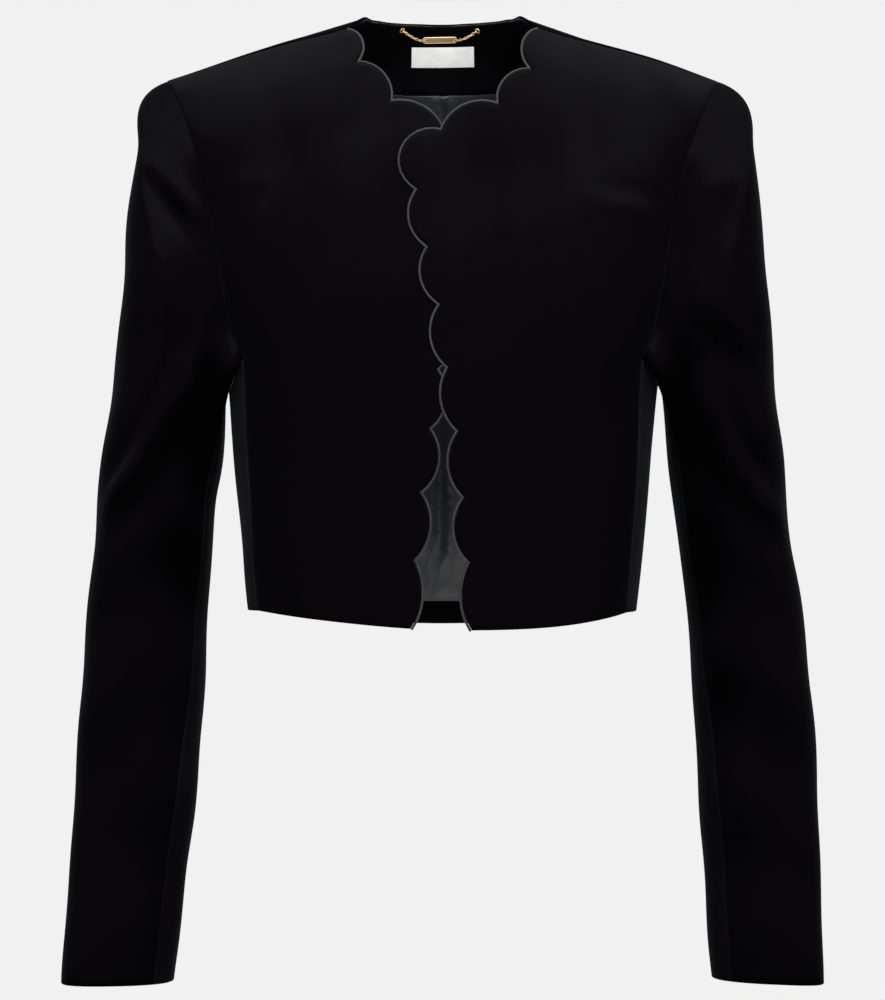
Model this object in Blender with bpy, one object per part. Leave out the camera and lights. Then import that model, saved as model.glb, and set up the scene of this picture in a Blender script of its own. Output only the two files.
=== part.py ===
"""Spencer jacket of black velvet, standing hollow in the shape that a wearer gives it.

All sizes are millimetres and become metres as each mesh is made. +Z is up, -Y is the jacket's front
and +X is the wearer's left. The origin is the middle of the neck opening, level with the points where
the neck meets the shoulders. A "level" is a height on the body before the slope of the shoulders is
added, and the "tape" is a distance laid over the body from the shoulder ridge, plus to the front and
minus to the back.
"""

import math
from collections import namedtuple

import bpy
import numpy as np
from mathutils import Matrix, Vector
from mathutils.geometry import delaunay_2d_cdt

MM = 0.001
WALL = 2.0
SEAM_GAP = 0.3
LINING_WALL = 1.0
GRID = 20.0
GRID_ROW = 18.0
SHOULDER_ROW = 12.0
SHOULDER_REACH = 110.0
NECK_GRID_TAPE = (-100.0, 5.0)
SEAM_STEPS = 10

# The body on a general figure: its side view, its sections and the slope of its shoulders

Profile = namedtuple("Profile", "depth level")
BODY_PROFILE = (
    Profile(86, -462),
    Profile(86, -440),
    Profile(88, -380),
    Profile(93, -320),
    Profile(100, -260),
    Profile(104, -200),
    Profile(101, -150),
    Profile(93, -110),
    Profile(78, -70),
    Profile(60, -38),
    Profile(45, -22),
    Profile(31, -10),
    Profile(17, -3),
    Profile(0, 0),
    Profile(-16, -3),
    Profile(-29, -10),
    Profile(-45, -25),
    Profile(-62, -50),
    Profile(-78, -83),
    Profile(-93, -120),
    Profile(-107, -160),
    Profile(-117, -200),
    Profile(-121, -240),
    Profile(-121, -290),
    Profile(-118, -345),
    Profile(-115, -400),
    Profile(-112, -462),
)

Section = namedtuple("Section", "level half_width squareness")
BODY_SECTIONS = (
    Section(-470, 136.5, 2.6),
    Section(-440, 138.5, 2.6),
    Section(-400, 143, 2.6),
    Section(-350, 147, 2.6),
    Section(-300, 151, 2.6),
    Section(-250, 156, 2.7),
    Section(-200, 167, 2.8),
    Section(-150, 176, 3.0),
    Section(-100, 186, 3.3),
    Section(-50, 197, 4.0),
    Section(0, 208, 5.0),
)

Ridge = namedtuple("Ridge", "x behind in_front")
SHOULDER_RIDGE = (
    Ridge(-15, 34.5, 3.9),
    Ridge(0, 39.3, 4.0),
    Ridge(15, 34.5, 3.9),
    Ridge(31, 22.0, 3.4),
    Ridge(45, 8.0, 2.0),
    Ridge(52, 1.6, 0.5),
    Ridge(56.5, -0.3, -0.8),
    Ridge(66, -5.5, -5.0),
    Ridge(80, -10.0, -10.0),
    Ridge(100, -15.5, -15.5),
    Ridge(144, -28.4, -28.4),
    Ridge(198, -47.2, -47.2),
    Ridge(215, -52.7, -52.7),
)
RIDGE_BLEND = (-10.0, 30.0)
SLOPE_FADES = (-200.0, -20.0)

# Seams and edges on the body, as x against height z, or against the tape near the neck

Seam = namedtuple("Seam", "x z")
Taped = namedtuple("Taped", "x tape")
FRONT_ARMHOLE = (
    Seam(189, -65),
    Seam(180, -88),
    Seam(173, -108),
    Seam(168, -131),
    Seam(161.5, -168),
    Seam(155, -201),
    Seam(150, -227),
    Seam(141, -249),
)
BACK_ARMHOLE = (
    Seam(190, -66),
    Seam(184, -90),
    Seam(179, -115),
    Seam(174.5, -140),
    Seam(169, -175),
    Seam(163, -205),
    Seam(157, -226),
)
SIDE_FRONT_SEAM = (
    Seam(141, -249),
    Seam(140, -276),
    Seam(139, -306),
    Seam(136.5, -362),
    Seam(134, -405),
    Seam(132, -427),
)
SIDE_BACK_SEAM = (
    Seam(157, -226),
    Seam(148, -247),
    Seam(142.5, -272),
    Seam(139.5, -305),
    Seam(136, -350),
    Seam(133, -400),
    Seam(130.5, -427),
)
Side = namedtuple("Side", "y z")
UNDERARM = (Side(-38, -255.5), Side(-6, -257), Side(22, -246))
NECK_CORNER = Taped(69, 20)
SHOULDER_POINT = Taped(198, 10)
SHOULDER_END = Taped(198.4, 0)
BACK_NECK = (
    Taped(-15, -67.5),
    Taped(0, -73.3),
    Taped(15, -67.5),
    Taped(31, -51.4),
    Taped(45, -29.5),
    Taped(52, -14.2),
    Taped(56.5, 0),
    Taped(62.5, 10),
    Taped(69, 20),
)
HEM_AT_CENTRE = -439.5
HEM_RISE = 13.5
HEM_RISE_AT = 141.0
HEM_CURVE = {"left": 3.0, "right": 1.4, "back": 2.0}

# The scalloped edges: the notch at each row, and how far the scallop after it swells from its chord

Notch = namedtuple("Notch", "x z swell")
LEFT_FRONT_EDGE = (
    Notch(69, -13, 9.0),
    Notch(63.8, -44.3, 9.4),
    Notch(40.2, -70.7, 10.4),
    Notch(-0.4, -89.4, 21.0),
    Notch(-16.9, -130.7, 9.6),
    Notch(-9.4, -172, 9.4),
    Notch(-1.0, -212.1, 9.3),
    Notch(4.5, -256, 8.4),
    Notch(11.5, -300.3, 9.0),
    Notch(15.6, -346.5, 9.1),
    Notch(19.4, -391.9, 6.4),
    Notch(20.5, -439.4, 0),
)
RIGHT_FRONT_EDGE = (
    Notch(69, -13, 7.8),
    Notch(62.2, -37.9, 9.6),
    Notch(37.4, -66.8, 9.0),
    Notch(-0.4, -89.4, 21.0),
    Notch(-16.9, -130.7, 9.6),
    Notch(-9.4, -172, 9.4),
    Notch(-1.0, -212.1, 9.3),
    Notch(4.5, -257.4, 9.0),
    Notch(9.9, -298.7, 9.8),
    Notch(16.3, -343.1, 9.2),
    Notch(20.5, -390.3, 6.8),
    Notch(22.6, -439.8, 0),
)
SCALLOP_STEPS = 6
OVERLAP_LIFT = 1.3
OVERLAP_FADES_X = (60.0, 110.0)
OVERLAP_FADES_TAPE = (20.0, 80.0)
PIPING_RADIUS = 0.9
PIPING_SIDES = 6

# The sleeves: outlines seen from the front, with the depth that the pitch of an arm gives them

Ring = namedtuple("Ring", "level outer inner centre_depth half_depth")
LEFT_SLEEVE = (
    Ring(-710, 271, 192.5, -46, 37.5),
    Ring(-693, 270.8, 191.5, -45, 38),
    Ring(-612, 268.9, 186, -37, 42.5),
    Ring(-535, 266.8, 181.6, -28, 47.5),
    Ring(-478, 262.9, 178.5, -22, 51.5),
    Ring(-420, 256.2, 174.5, -16, 56),
    Ring(-348, 246, 165, -11, 60.5),
    Ring(-309, 243.6, 160.3, -8.5, 63),
    Ring(-264, 238.2, 153.6, -7, 65),
    Ring(-198, 233.9, 147, -6, 63.5),
    Ring(-143, 228.4, 142.5, -6, 59),
    Ring(-96, 223.6, 140, -6, 52),
    Ring(-64, 219, 138, -6, 46),
)
RIGHT_SLEEVE = (
    Ring(-710, 271, 191.5, -46, 37.5),
    Ring(-693, 270.8, 190.8, -45, 38),
    Ring(-612, 265.4, 181.8, -37, 42.5),
    Ring(-535, 261.1, 173.6, -28, 47.5),
    Ring(-477, 257.7, 170.0, -22, 51.5),
    Ring(-420, 253.2, 167.6, -16, 56),
    Ring(-377, 249.4, 164.7, -13, 59),
    Ring(-348, 247, 162.4, -11, 60.5),
    Ring(-305, 242.5, 154, -8.5, 63),
    Ring(-266, 236.5, 151.5, -7, 65),
    Ring(-207, 230, 145.5, -6, 64),
    Ring(-155, 227, 142, -6, 60),
    Ring(-104, 219.9, 139, -6, 54),
    Ring(-64, 214.7, 137, -6, 46),
)
SLEEVE_SQUARENESS = 2.3
SHOULDER_FALL = -20.0
UNDERARM_FALL = {"left": 80.0, "right": 90.0}
HEAD_PULL = 0.8
HEAD_ROUNDING = 0.9
RING_TOP_OUTER = -100.0
RING_TOP_INNER = -335.0
CUFF_Z = {"left": (-692.0, -687.8), "right": (-691.7, -690.0)}
HEAD_ROWS = 6
ARM_ROWS = 12
FRONT_STEPS = 9
SIDE_STEPS = 6
BACK_STEPS = 9
FRONT_SEAM_ANGLE = 150.0
BACK_SEAM_ANGLE = 228.0
Turn = namedtuple("Turn", "level angle")
FRONT_SEAM_TURNS = (
    Turn(-700, -20),
    Turn(-550, -17),
    Turn(-490, -10),
    Turn(-384, 0),
    Turn(-300, 0),
)

# The largest folds, as a ridge from one point to another seen from the front

Fold = namedtuple("Fold", "x1 z1 x2 z2 width height")
LEFT_SLEEVE_FOLDS = (
    Fold(182, -190, 218, -234, 11, 2.6),
    Fold(189, -264, 200, -300, 12, 3.0),
    Fold(200, -300, 218, -330, 12, 3.2),
    Fold(218, -330, 248, -362, 12, 2.4),
)
RIGHT_SLEEVE_FOLDS = (
    Fold(173, -230, 209, -298, 12, 4.0),
    Fold(209, -298, 241, -347, 12, 3.4),
    Fold(176, -141, 211, -97, 9, 2.0),
)

# What shows inside the back, and the chain hanger

FACING_FOOT = (Seam(0, -50), Seam(10, -50), Seam(22, -50), Seam(38, -49.5), Seam(66, -46))
FACING_FRONT = (Taped(92, -26), Taped(100, 6))
NECK_SIDE = 61.0
EDGE_INSET = 0.6
LINING_INSET = 7.0
LINING_SHOULDER = Taped(176, -8)
HEM_FACING_TOP = -423.0
PLEAT_HEIGHT = 2.2
PLEAT_WIDTH = 9.0
PLEAT_BACK = 2.0
PLEAT_FOOT = -396.0
PLEAT_FADE = 14.0
PLEAT_CLEARANCE = 4.0
LABEL_SIZE = (48.5, 14.7)
LABEL_Z = -22.3
BAR_SIZE = (25.0, 5.0, 1.2)
BAR_PLACE = Seam(-2.3, -8.8)
BAR_CORNER = 1.75
BAR_HOLE_RADIUS = 0.9
BAR_HOLE_INSET = 2.2
RING_PLACES = {"left": Seam(27.8, -3.6), "right": Seam(-31.8, -3.6)}
RING_RADIUS = 1.75
RING_WIRE = 0.45
CHAIN_RADIUS = 1.15
CHAIN_CLEARANCE = 0.3
CHAIN_SAG = 1.2
CHAIN_STEPS = 6
CHAIN_SIDES = 8


def finish(name, colour, roughness, metallic=0.0):
    material = bpy.data.materials.new(name)
    material.use_nodes = True
    shader = material.node_tree.nodes["Principled BSDF"]
    shader.inputs["Base Color"].default_value = (*colour, 1.0)
    shader.inputs["Roughness"].default_value = roughness
    shader.inputs["Metallic"].default_value = metallic
    return material


def column(table, name):
    return np.array([getattr(row, name) for row in table], float)


def smooth_read(keys, values, at):
    """Reads a table between its rows on a cubic that passes through each of them."""
    slopes = np.gradient(values, keys)
    row = np.clip(np.searchsorted(keys, at) - 1, 0, len(keys) - 2)
    step = keys[row + 1] - keys[row]
    u = np.clip((at - keys[row]) / step, 0.0, 1.0)
    return (
        values[row] * (1 + 2 * u) * (1 - u) ** 2
        + slopes[row] * step * u * (1 - u) ** 2
        + values[row + 1] * u**2 * (3 - 2 * u)
        + slopes[row + 1] * step * u**2 * (u - 1)
    )


def smoothstep(at, low, high):
    u = np.clip((at - low) / (high - low), 0.0, 1.0)
    return u * u * (3 - 2 * u)


def curve_through(knots, steps):
    """A smooth flat curve through the knots, cut into steps of one length."""
    knots = np.array(knots, float)
    reach = np.concatenate([[0], np.cumsum(np.linalg.norm(np.diff(knots, axis=0), axis=1))])
    fine = np.linspace(0, reach[-1], 50 * steps)
    path = np.stack([smooth_read(reach, knots[:, i], fine) for i in range(2)], axis=1)
    length = np.concatenate([[0], np.cumsum(np.linalg.norm(np.diff(path, axis=0), axis=1))])
    places = np.linspace(0, length[-1], steps + 1)
    return np.stack([np.interp(places, length, path[:, i]) for i in range(2)], axis=1)


def unit(vectors):
    return vectors / np.linalg.norm(vectors, axis=-1, keepdims=True)


# The body's surface

DEPTHS = column(BODY_PROFILE, "depth")
LEVELS = column(BODY_PROFILE, "level")
RIDGE_ROW = int(np.argmax(LEVELS))
TAPE = np.concatenate([[0], np.cumsum(np.hypot(np.diff(DEPTHS), np.diff(LEVELS)))])
TAPE = TAPE - TAPE[RIDGE_ROW]


def body_width(level):
    keys = column(BODY_SECTIONS, "level")
    half = smooth_read(keys, column(BODY_SECTIONS, "half_width"), level)
    return half, smooth_read(keys, column(BODY_SECTIONS, "squareness"), level)


def body_point(x, tape):
    depth = smooth_read(TAPE, DEPTHS, tape)
    level = smooth_read(TAPE, LEVELS, tape)
    half, squareness = body_width(level)
    across = np.clip(np.abs(x) / half, 0.0, 0.9999)
    y = depth * (1 - across**squareness) ** (1 / squareness)
    ridge_x = column(SHOULDER_RIDGE, "x")
    behind = smooth_read(ridge_x, column(SHOULDER_RIDGE, "behind"), np.abs(x))
    in_front = smooth_read(ridge_x, column(SHOULDER_RIDGE, "in_front"), np.abs(x))
    ridge = behind + (in_front - behind) * smoothstep(tape, *RIDGE_BLEND)
    return np.stack([x + 0 * y, y, level + ridge * smoothstep(level, *SLOPE_FADES)], axis=-1)


def body_surface(x, tape):
    """Points on the outer face of the body and the directions that point out of it."""
    step = 0.1
    along_x = body_point(x + step, tape) - body_point(x - step, tape)
    along_tape = body_point(x, tape + step) - body_point(x, tape - step)
    return body_point(x, tape), unit(-np.cross(along_x, along_tape))


def side_point(y, z):
    half, squareness = body_width(z)
    front = smooth_read(LEVELS[RIDGE_ROW:][::-1], DEPTHS[RIDGE_ROW:][::-1], z)
    back = smooth_read(LEVELS[: RIDGE_ROW + 1], DEPTHS[: RIDGE_ROW + 1], z)
    depth = np.where(y < 0, -front, back)
    across = np.clip(np.abs(y) / depth, 0.0, 0.9999)
    x = half * (1 - across**squareness) ** (1 / squareness)
    return np.stack([x, y + 0 * x, z + 0 * x], axis=-1)


def side_surface(y, z):
    step = 0.1
    along_y = side_point(y + step, z) - side_point(y - step, z)
    along_z = side_point(y, z + step) - side_point(y, z - step)
    return side_point(y, z), unit(np.cross(along_y, along_z))


def tape_at(x, z, front):
    """The tape reading where the body's front or back is at height z over x."""
    reach = np.linspace(0, TAPE[-1] if front else TAPE[0], 600)
    heights = body_point(np.full(len(reach), float(x)), reach)[:, 2]
    return float(np.interp(z, heights[::-1], reach[::-1]))


def taped(places, front):
    return [(place.x, tape_at(place.x, place.z, front)) for place in places]


def hem_height(x, cut):
    rise = HEM_RISE * (np.abs(x) / HEM_RISE_AT) ** HEM_CURVE[cut]
    return HEM_AT_CENTRE + rise


def shoulder_tape(x):
    share = (x - NECK_CORNER.x) / (SHOULDER_POINT.x - NECK_CORNER.x)
    return NECK_CORNER.tape + (SHOULDER_POINT.tape - NECK_CORNER.tape) * share


# Flat cutting and the walls made from it


def distances(points, line):
    """How far each point lies from the nearest part of a line of points."""
    start, edge = line[:-1], np.diff(line, axis=0)
    size = np.maximum((edge * edge).sum(-1), 1e-12)
    reach = points[:, None, :] - start[None]
    share = np.clip((reach * edge).sum(-1) / size, 0, 1)
    return np.linalg.norm(reach - share[..., None] * edge, axis=-1).min(axis=1)


def contained(points, outline):
    start, end = outline, np.roll(outline, -1, axis=0)
    v = points[:, None, 1]
    spans = (start[:, 1] > v) != (end[:, 1] > v)
    rise = np.where(end[:, 1] == start[:, 1], 1.0, end[:, 1] - start[:, 1])
    crossing = start[:, 0] + (v - start[:, 1]) / rise * (end[:, 0] - start[:, 0])
    return (spans & (points[:, None, 0] < crossing)).sum(axis=1) % 2 == 1


def grid_rows(low, high):
    """Row places for a grid: close together where the cloth turns over the shoulders."""
    rows = [low + SHOULDER_ROW / 2]
    while rows[-1] < high:
        near = abs(rows[-1]) < SHOULDER_REACH
        rows.append(rows[-1] + (SHOULDER_ROW if near else GRID_ROW))
    return rows


def cut_cloth(outline, lines=()):
    """Triangles over a flat outline, with seams or folds drawn on it as lines."""
    outline = np.array(outline, float)
    lines = [np.array(line, float) for line in lines]
    low, high = outline.min(axis=0), outline.max(axis=0)
    reach = math.ceil(max(abs(low[0]), abs(high[0])) / GRID) + 1
    grid, sizes = [], []
    for row, v in enumerate(grid_rows(low[1], high[1])):
        shift = 0.5 * (row % 2)
        near = NECK_GRID_TAPE[0] < v < NECK_GRID_TAPE[1]
        fine = [(k + shift) * GRID / 2 for k in range(-8, 9)] if near else []
        coarse = [(k + shift) * GRID for k in range(-reach, reach + 1)]
        edge = 8.5 * GRID / 2 if near else 0.0
        coarse = [x for x in coarse if abs(x) > edge or not near]
        grid += [(x, v) for x in fine + coarse]
        sizes += [GRID / 2] * len(fine) + [GRID] * len(coarse)
    grid, sizes = np.array(grid), np.array(sizes)
    closed = np.vstack([outline, outline[:1]])
    keep = contained(grid, outline) & (distances(grid, closed) > 0.5 * sizes)
    points, edges = list(outline), []
    for line in lines:
        keep &= distances(grid, line) > 0.4 * sizes
        edges += [(len(points) + k, len(points) + k + 1) for k in range(len(line) - 1)]
        points += list(line)
    points += list(grid[keep])
    cut = delaunay_2d_cdt(
        [Vector(p) for p in points], edges, [list(range(len(outline)))], 1, 1e-4
    )
    flat = np.array([tuple(p) for p in cut[0]])
    faces = []
    for face in cut[2]:
        a, b, c = flat[list(face)]
        turned = (b[0] - a[0]) * (c[1] - a[1]) - (b[1] - a[1]) * (c[0] - a[0]) < 0
        faces.append(tuple(face)[::-1] if turned else tuple(face))
    return flat, faces


def piece_of(flat, faces, region=None):
    """The part of a cut inside a region, drawn in all round by half a seam's gap."""
    if region is not None:
        middles = np.array([flat[list(face)].mean(axis=0) for face in faces])
        inside = contained(middles, np.array(region, float))
        faces = [face for face, kept in zip(faces, inside) if kept]
    used = sorted({i for face in faces for i in face})
    place = {i: k for k, i in enumerate(used)}
    faces = [tuple(place[i] for i in face) for face in faces]
    flat = flat[used]
    ways = {pair for face in faces for pair in zip(face, face[1:] + face[:1])}
    inward = [[] for _ in used]
    for a, b in ways:
        if (b, a) not in ways:
            edge = unit(flat[b] - flat[a])
            for i in (a, b):
                inward[i].append(np.array([-edge[1], edge[0]]))
    drawn = flat.copy()
    for i, sides in enumerate(inward):
        if sides:
            way = unit(np.sum(sides, axis=0))
            drawn[i] += SEAM_GAP / 2 / max(way @ sides[0], 0.5) * way
    return drawn, faces


def add_mesh(name, points, faces, material):
    mesh = bpy.data.meshes.new(name)
    mesh.from_pydata([tuple(p) for p in np.asarray(points) * MM], [], faces)
    mesh.materials.append(material)
    mesh.shade_smooth()
    mesh.set_sharp_from_angle(angle=math.radians(40))
    obj = bpy.data.objects.new(name, mesh)
    bpy.context.scene.collection.objects.link(obj)
    return obj


def add_wall(name, outer, inner, faces, material):
    """A closed wall between matching outer and inner points, with a rim round each open edge."""
    first = np.array([outer[i] for i in faces[len(faces) // 2][:3]])
    facing = np.cross(first[1] - first[0], first[2] - first[0])
    at = faces[len(faces) // 2][0]
    if facing @ (outer[at] - inner[at]) < 0:
        faces = [face[::-1] for face in faces]
    count = len(outer)
    ways = {pair for face in faces for pair in zip(face, face[1:] + face[:1])}
    rim = [(b, a, a + count, b + count) for a, b in sorted(ways) if (b, a) not in ways]
    back = [tuple(i + count for i in face[::-1]) for face in faces]
    return add_mesh(name, np.concatenate([outer, inner]), faces + back + rim, material)


def add_panel(name, surface, cut, material, side=1, lift=None, thickness=WALL):
    """Lays a flat cut on a surface: lift moves its outer face out, and side -1 mirrors it."""
    flat, faces = cut
    points, normals = surface(flat[:, 0], flat[:, 1])
    raised = lift(flat) if callable(lift) else np.full(len(flat), lift or 0.0)
    depth = thickness(flat, points) if callable(thickness) else np.full(len(flat), thickness)
    outer = points + raised[:, None] * normals
    inner = outer - depth[:, None] * normals
    mirror = np.array([side, 1, 1])
    return add_wall(name, outer * mirror, inner * mirror, faces, material)


def sweep(name, path, normals, radius, sides, material):
    """A round cord along a path, mitred at its corners and closed at both ends."""
    ways = unit(np.diff(path, axis=0))
    before = np.vstack([ways[:1], ways])
    after = np.vstack([ways, ways[-1:]])
    tangent = unit(before + after)
    mitre = 1 / np.clip((tangent * after).sum(-1), 0.5, 1.0)
    across = unit(np.cross(tangent, normals)) * mitre[:, None]
    upright = unit(np.cross(across, tangent))
    turns = np.arange(sides) * 2 * math.pi / sides + math.pi / sides
    rings = [
        path + radius * (math.cos(turn) * upright + math.sin(turn) * across) for turn in turns
    ]
    points = np.stack(rings, axis=1).reshape(-1, 3)
    faces = []
    for k in range(len(path) - 1):
        for i in range(sides):
            j = (i + 1) % sides
            faces.append((k * sides + i, k * sides + j, (k + 1) * sides + j, (k + 1) * sides + i))
    faces.append(tuple(range(sides))[::-1])
    faces.append(tuple(range((len(path) - 1) * sides, len(path) * sides)))
    centre = path[0] + path[1]
    middle = points[[0, 1, sides, sides + 1]].mean(axis=0) - centre / 2
    quad = points[list(faces[0])]
    if np.cross(quad[1] - quad[0], quad[2] - quad[0]) @ middle < 0:
        faces = [face[::-1] for face in faces]
    return add_mesh(name, points, faces, material)


# Scalloped edges


def arc(start, end, swell, steps):
    """Points on the round scallop between two notches; it swells away from the cloth."""
    start, end = np.array(start, float), np.array(end, float)
    half = np.linalg.norm(end - start) / 2
    way = (end - start) / (2 * half)
    outward = np.array([way[1], -way[0]])
    radius = (half**2 + swell**2) / (2 * swell)
    centre = (start + end) / 2 + outward * (swell - radius)
    turns = np.linspace(-1, 1, steps + 1) * 2 * math.atan(swell / half)
    return centre + radius * (np.outer(np.cos(turns), outward) + np.outer(np.sin(turns), way))


def edge_notches(edge, cut):
    top = body_point(np.array([NECK_CORNER.x]), np.array([NECK_CORNER.tape]))[0]
    notches = [(row.x, row.z) for row in edge]
    notches[0] = (NECK_CORNER.x, top[2])
    notches[-1] = (edge[-1].x, float(hem_height(edge[-1].x, cut)))
    return notches


def scallops(edge, cut, steps):
    """Each scallop of an edge as its own run of points on the body, x against tape."""
    notches = edge_notches(edge, cut)
    runs = []
    for row, start, end in zip(edge, notches, notches[1:]):
        seen = arc(start, end, row.swell, steps)
        runs.append(np.array([(x, tape_at(x, z, True)) for x, z in seen]))
    return runs


def piping_line(edge, cut, steps, away):
    """The line that the piping follows, away from the edge, with a corner at each notch."""
    fine = 24 * steps
    dense = scallops(edge, cut, fine)
    border = np.vstack(dense)
    line = []
    for run in dense:
        way = unit(np.gradient(run, axis=0))
        moved = run + away * np.stack([-way[:, 1], way[:, 0]], axis=1)
        clear = distances(moved, border) > away - 0.02
        kept = np.nonzero(clear)[0]
        marks = [k for k in range(0, fine + 1, 24) if kept[0] + 8 < k < kept[-1] - 8]
        stretch = [moved[kept[0]]] + [moved[k] for k in marks] + [moved[kept[-1]]]
        if line:
            stretch[0] = (line.pop() + stretch[0]) / 2
        line += stretch
    return np.array(line)


# Panels of the body


def armhole():
    """The armhole's points from the shoulder down the front, under the arm and up the back."""
    front = curve_through([SHOULDER_POINT] + taped(FRONT_ARMHOLE, True), FRONT_STEPS)
    back = curve_through([SHOULDER_POINT, SHOULDER_END] + taped(BACK_ARMHOLE, False), BACK_STEPS)
    front_end, _ = body_surface(*front[-1:].T)
    back_end, _ = body_surface(*back[-1:].T)
    under_knots = [front_end[0, 1:], *UNDERARM, back_end[0, 1:]]
    under = curve_through(under_knots, SIDE_STEPS)
    return front, under, back


def with_overlap(sign):
    def lift(flat):
        near_centre = 1 - smoothstep(np.abs(flat[:, 0]), *OVERLAP_FADES_X)
        return sign * OVERLAP_LIFT * near_centre * smoothstep(flat[:, 1], *OVERLAP_FADES_TAPE)

    return lift


def hem_line(start_x, end_x, cut, front, steps):
    xs = np.linspace(start_x, end_x, steps + 1)
    return np.array([(x, tape_at(x, float(hem_height(x, cut)), front)) for x in xs])


def shoulder_line(steps):
    """The shoulder seam from the neck out, x against tape."""
    xs = np.linspace(NECK_CORNER.x, SHOULDER_POINT.x, steps + 1)
    return np.stack([xs, shoulder_tape(xs)], axis=1)


def make_front(cut, side, edge, sign, velvet, satin):
    front_hole, _, _ = armhole()
    opening = np.vstack([run[:-1] for run in scallops(edge, cut, SCALLOP_STEPS)])
    seam = curve_through(taped(SIDE_FRONT_SEAM, True), SEAM_STEPS)
    hem = hem_line(edge[-1].x, seam[-1, 0], cut, True, 9)
    shoulder = shoulder_line(8)[::-1]
    outline = np.vstack([opening, hem, seam[-2::-1], front_hole[-2:0:-1], shoulder[:-1]])
    lift = with_overlap(sign)
    add_panel(f"front_{cut}", body_surface, piece_of(*cut_cloth(outline)), velvet, side, lift)

    line = piping_line(edge, cut, SCALLOP_STEPS, PIPING_RADIUS + SEAM_GAP)
    points, normals = body_surface(line[:, 0], line[:, 1])
    path = points + (lift(line) - WALL / 2)[:, None] * normals
    mirror = np.array([side, 1, 1])
    sweep(f"piping_{cut}", path * mirror, normals * mirror, PIPING_RADIUS, PIPING_SIDES, satin)


def make_side(cut, side, velvet):
    _, under, _ = armhole()
    front_seam = curve_through(taped(SIDE_FRONT_SEAM, True), SEAM_STEPS)
    back_seam = curve_through(taped(SIDE_BACK_SEAM, False), SEAM_STEPS)
    front_points = body_point(front_seam[:, 0], front_seam[:, 1])
    back_points = body_point(back_seam[:, 0], back_seam[:, 1])
    front_points[-1, 2] = hem_height(front_points[-1, 0], cut)
    back_points[-1, 2] = hem_height(back_points[-1, 0], "back")
    hem = curve_through([front_points[-1, 1:], back_points[-1, 1:]], 7)
    outline = np.vstack([front_points[:, 1:], hem[1:-1], back_points[::-1, 1:], under[-2:0:-1]])
    add_panel(f"side_{cut}", side_surface, piece_of(*cut_cloth(outline)), velvet, side)


def back_neck_line(steps):
    """The back neck edge from the centre out to the front corner."""
    line = curve_through([(row.x, row.tape) for row in BACK_NECK[1:]], steps)
    line[:, 1] = smooth_read(column(BACK_NECK, "x"), column(BACK_NECK, "tape"), line[:, 0])
    return line


def both_sides(half):
    """A line given from the centre out, run from one side through the centre to the other."""
    half = np.array(half, float)
    return np.vstack([half[:0:-1] * (-1, 1), half])


def stepped(corners, step):
    """Points along straight lines from corner to corner, no further apart than the step."""
    corners = np.array(corners, float)
    runs = []
    for start, end in zip(corners, corners[1:]):
        pieces = max(1, math.ceil(np.linalg.norm(end - start) / step))
        runs.append(start + np.outer(np.arange(pieces) / pieces, end - start))
    return np.vstack(runs + [corners[-1:]])


def ring_of(top, foot):
    return np.vstack([top, foot[::-1]])


def facing_regions():
    """Outlines of what lies inside the back: neck facing, lining, hem facing and label."""
    foot = both_sides(curve_through(taped(FACING_FOOT, False) + list(FACING_FRONT), 8))
    front_tape = FACING_FRONT[-1].tape
    neck = back_neck_line(10) - (0, EDGE_INSET)
    neck = np.vstack([neck[neck[:, 1] < front_tape - 2], (NECK_SIDE + EDGE_INSET, front_tape)])
    facing = ring_of(both_sides(neck), foot)

    side = taped(BACK_ARMHOLE[2:], False) + taped(SIDE_BACK_SEAM[1:-1], False)
    side = curve_through(side, 16) - (LINING_INSET, 0)
    side = np.vstack([stepped([foot[-1], LINING_SHOULDER, side[0]], GRID)[1:-1], side])
    hem_top = hem_level_line(HEM_FACING_TOP, side[-1, 0])
    lining = np.vstack([foot, side[:-1], hem_top[::-1], side[-2::-1] * (-1, 1)])
    hem_x = hem_top[:, 0]
    hem_foot = np.array([(x, tape_at(x, float(hem_height(x, "back")) + 1, False)) for x in hem_x])
    hem_facing = ring_of(hem_top, hem_foot)

    width, height = LABEL_SIZE
    xs = np.linspace(-width / 2, width / 2, 5)
    label_top = np.array([(x, tape_at(x, LABEL_Z + height / 2, False)) for x in xs])
    label_foot = np.array([(x, tape_at(x, LABEL_Z - height / 2, False)) for x in xs])
    return facing, lining, hem_facing, ring_of(label_top, label_foot)


def hem_level_line(z, reach):
    xs = np.linspace(-reach, reach, 15)
    return np.array([(x, tape_at(x, z, False)) for x in xs])


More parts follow.
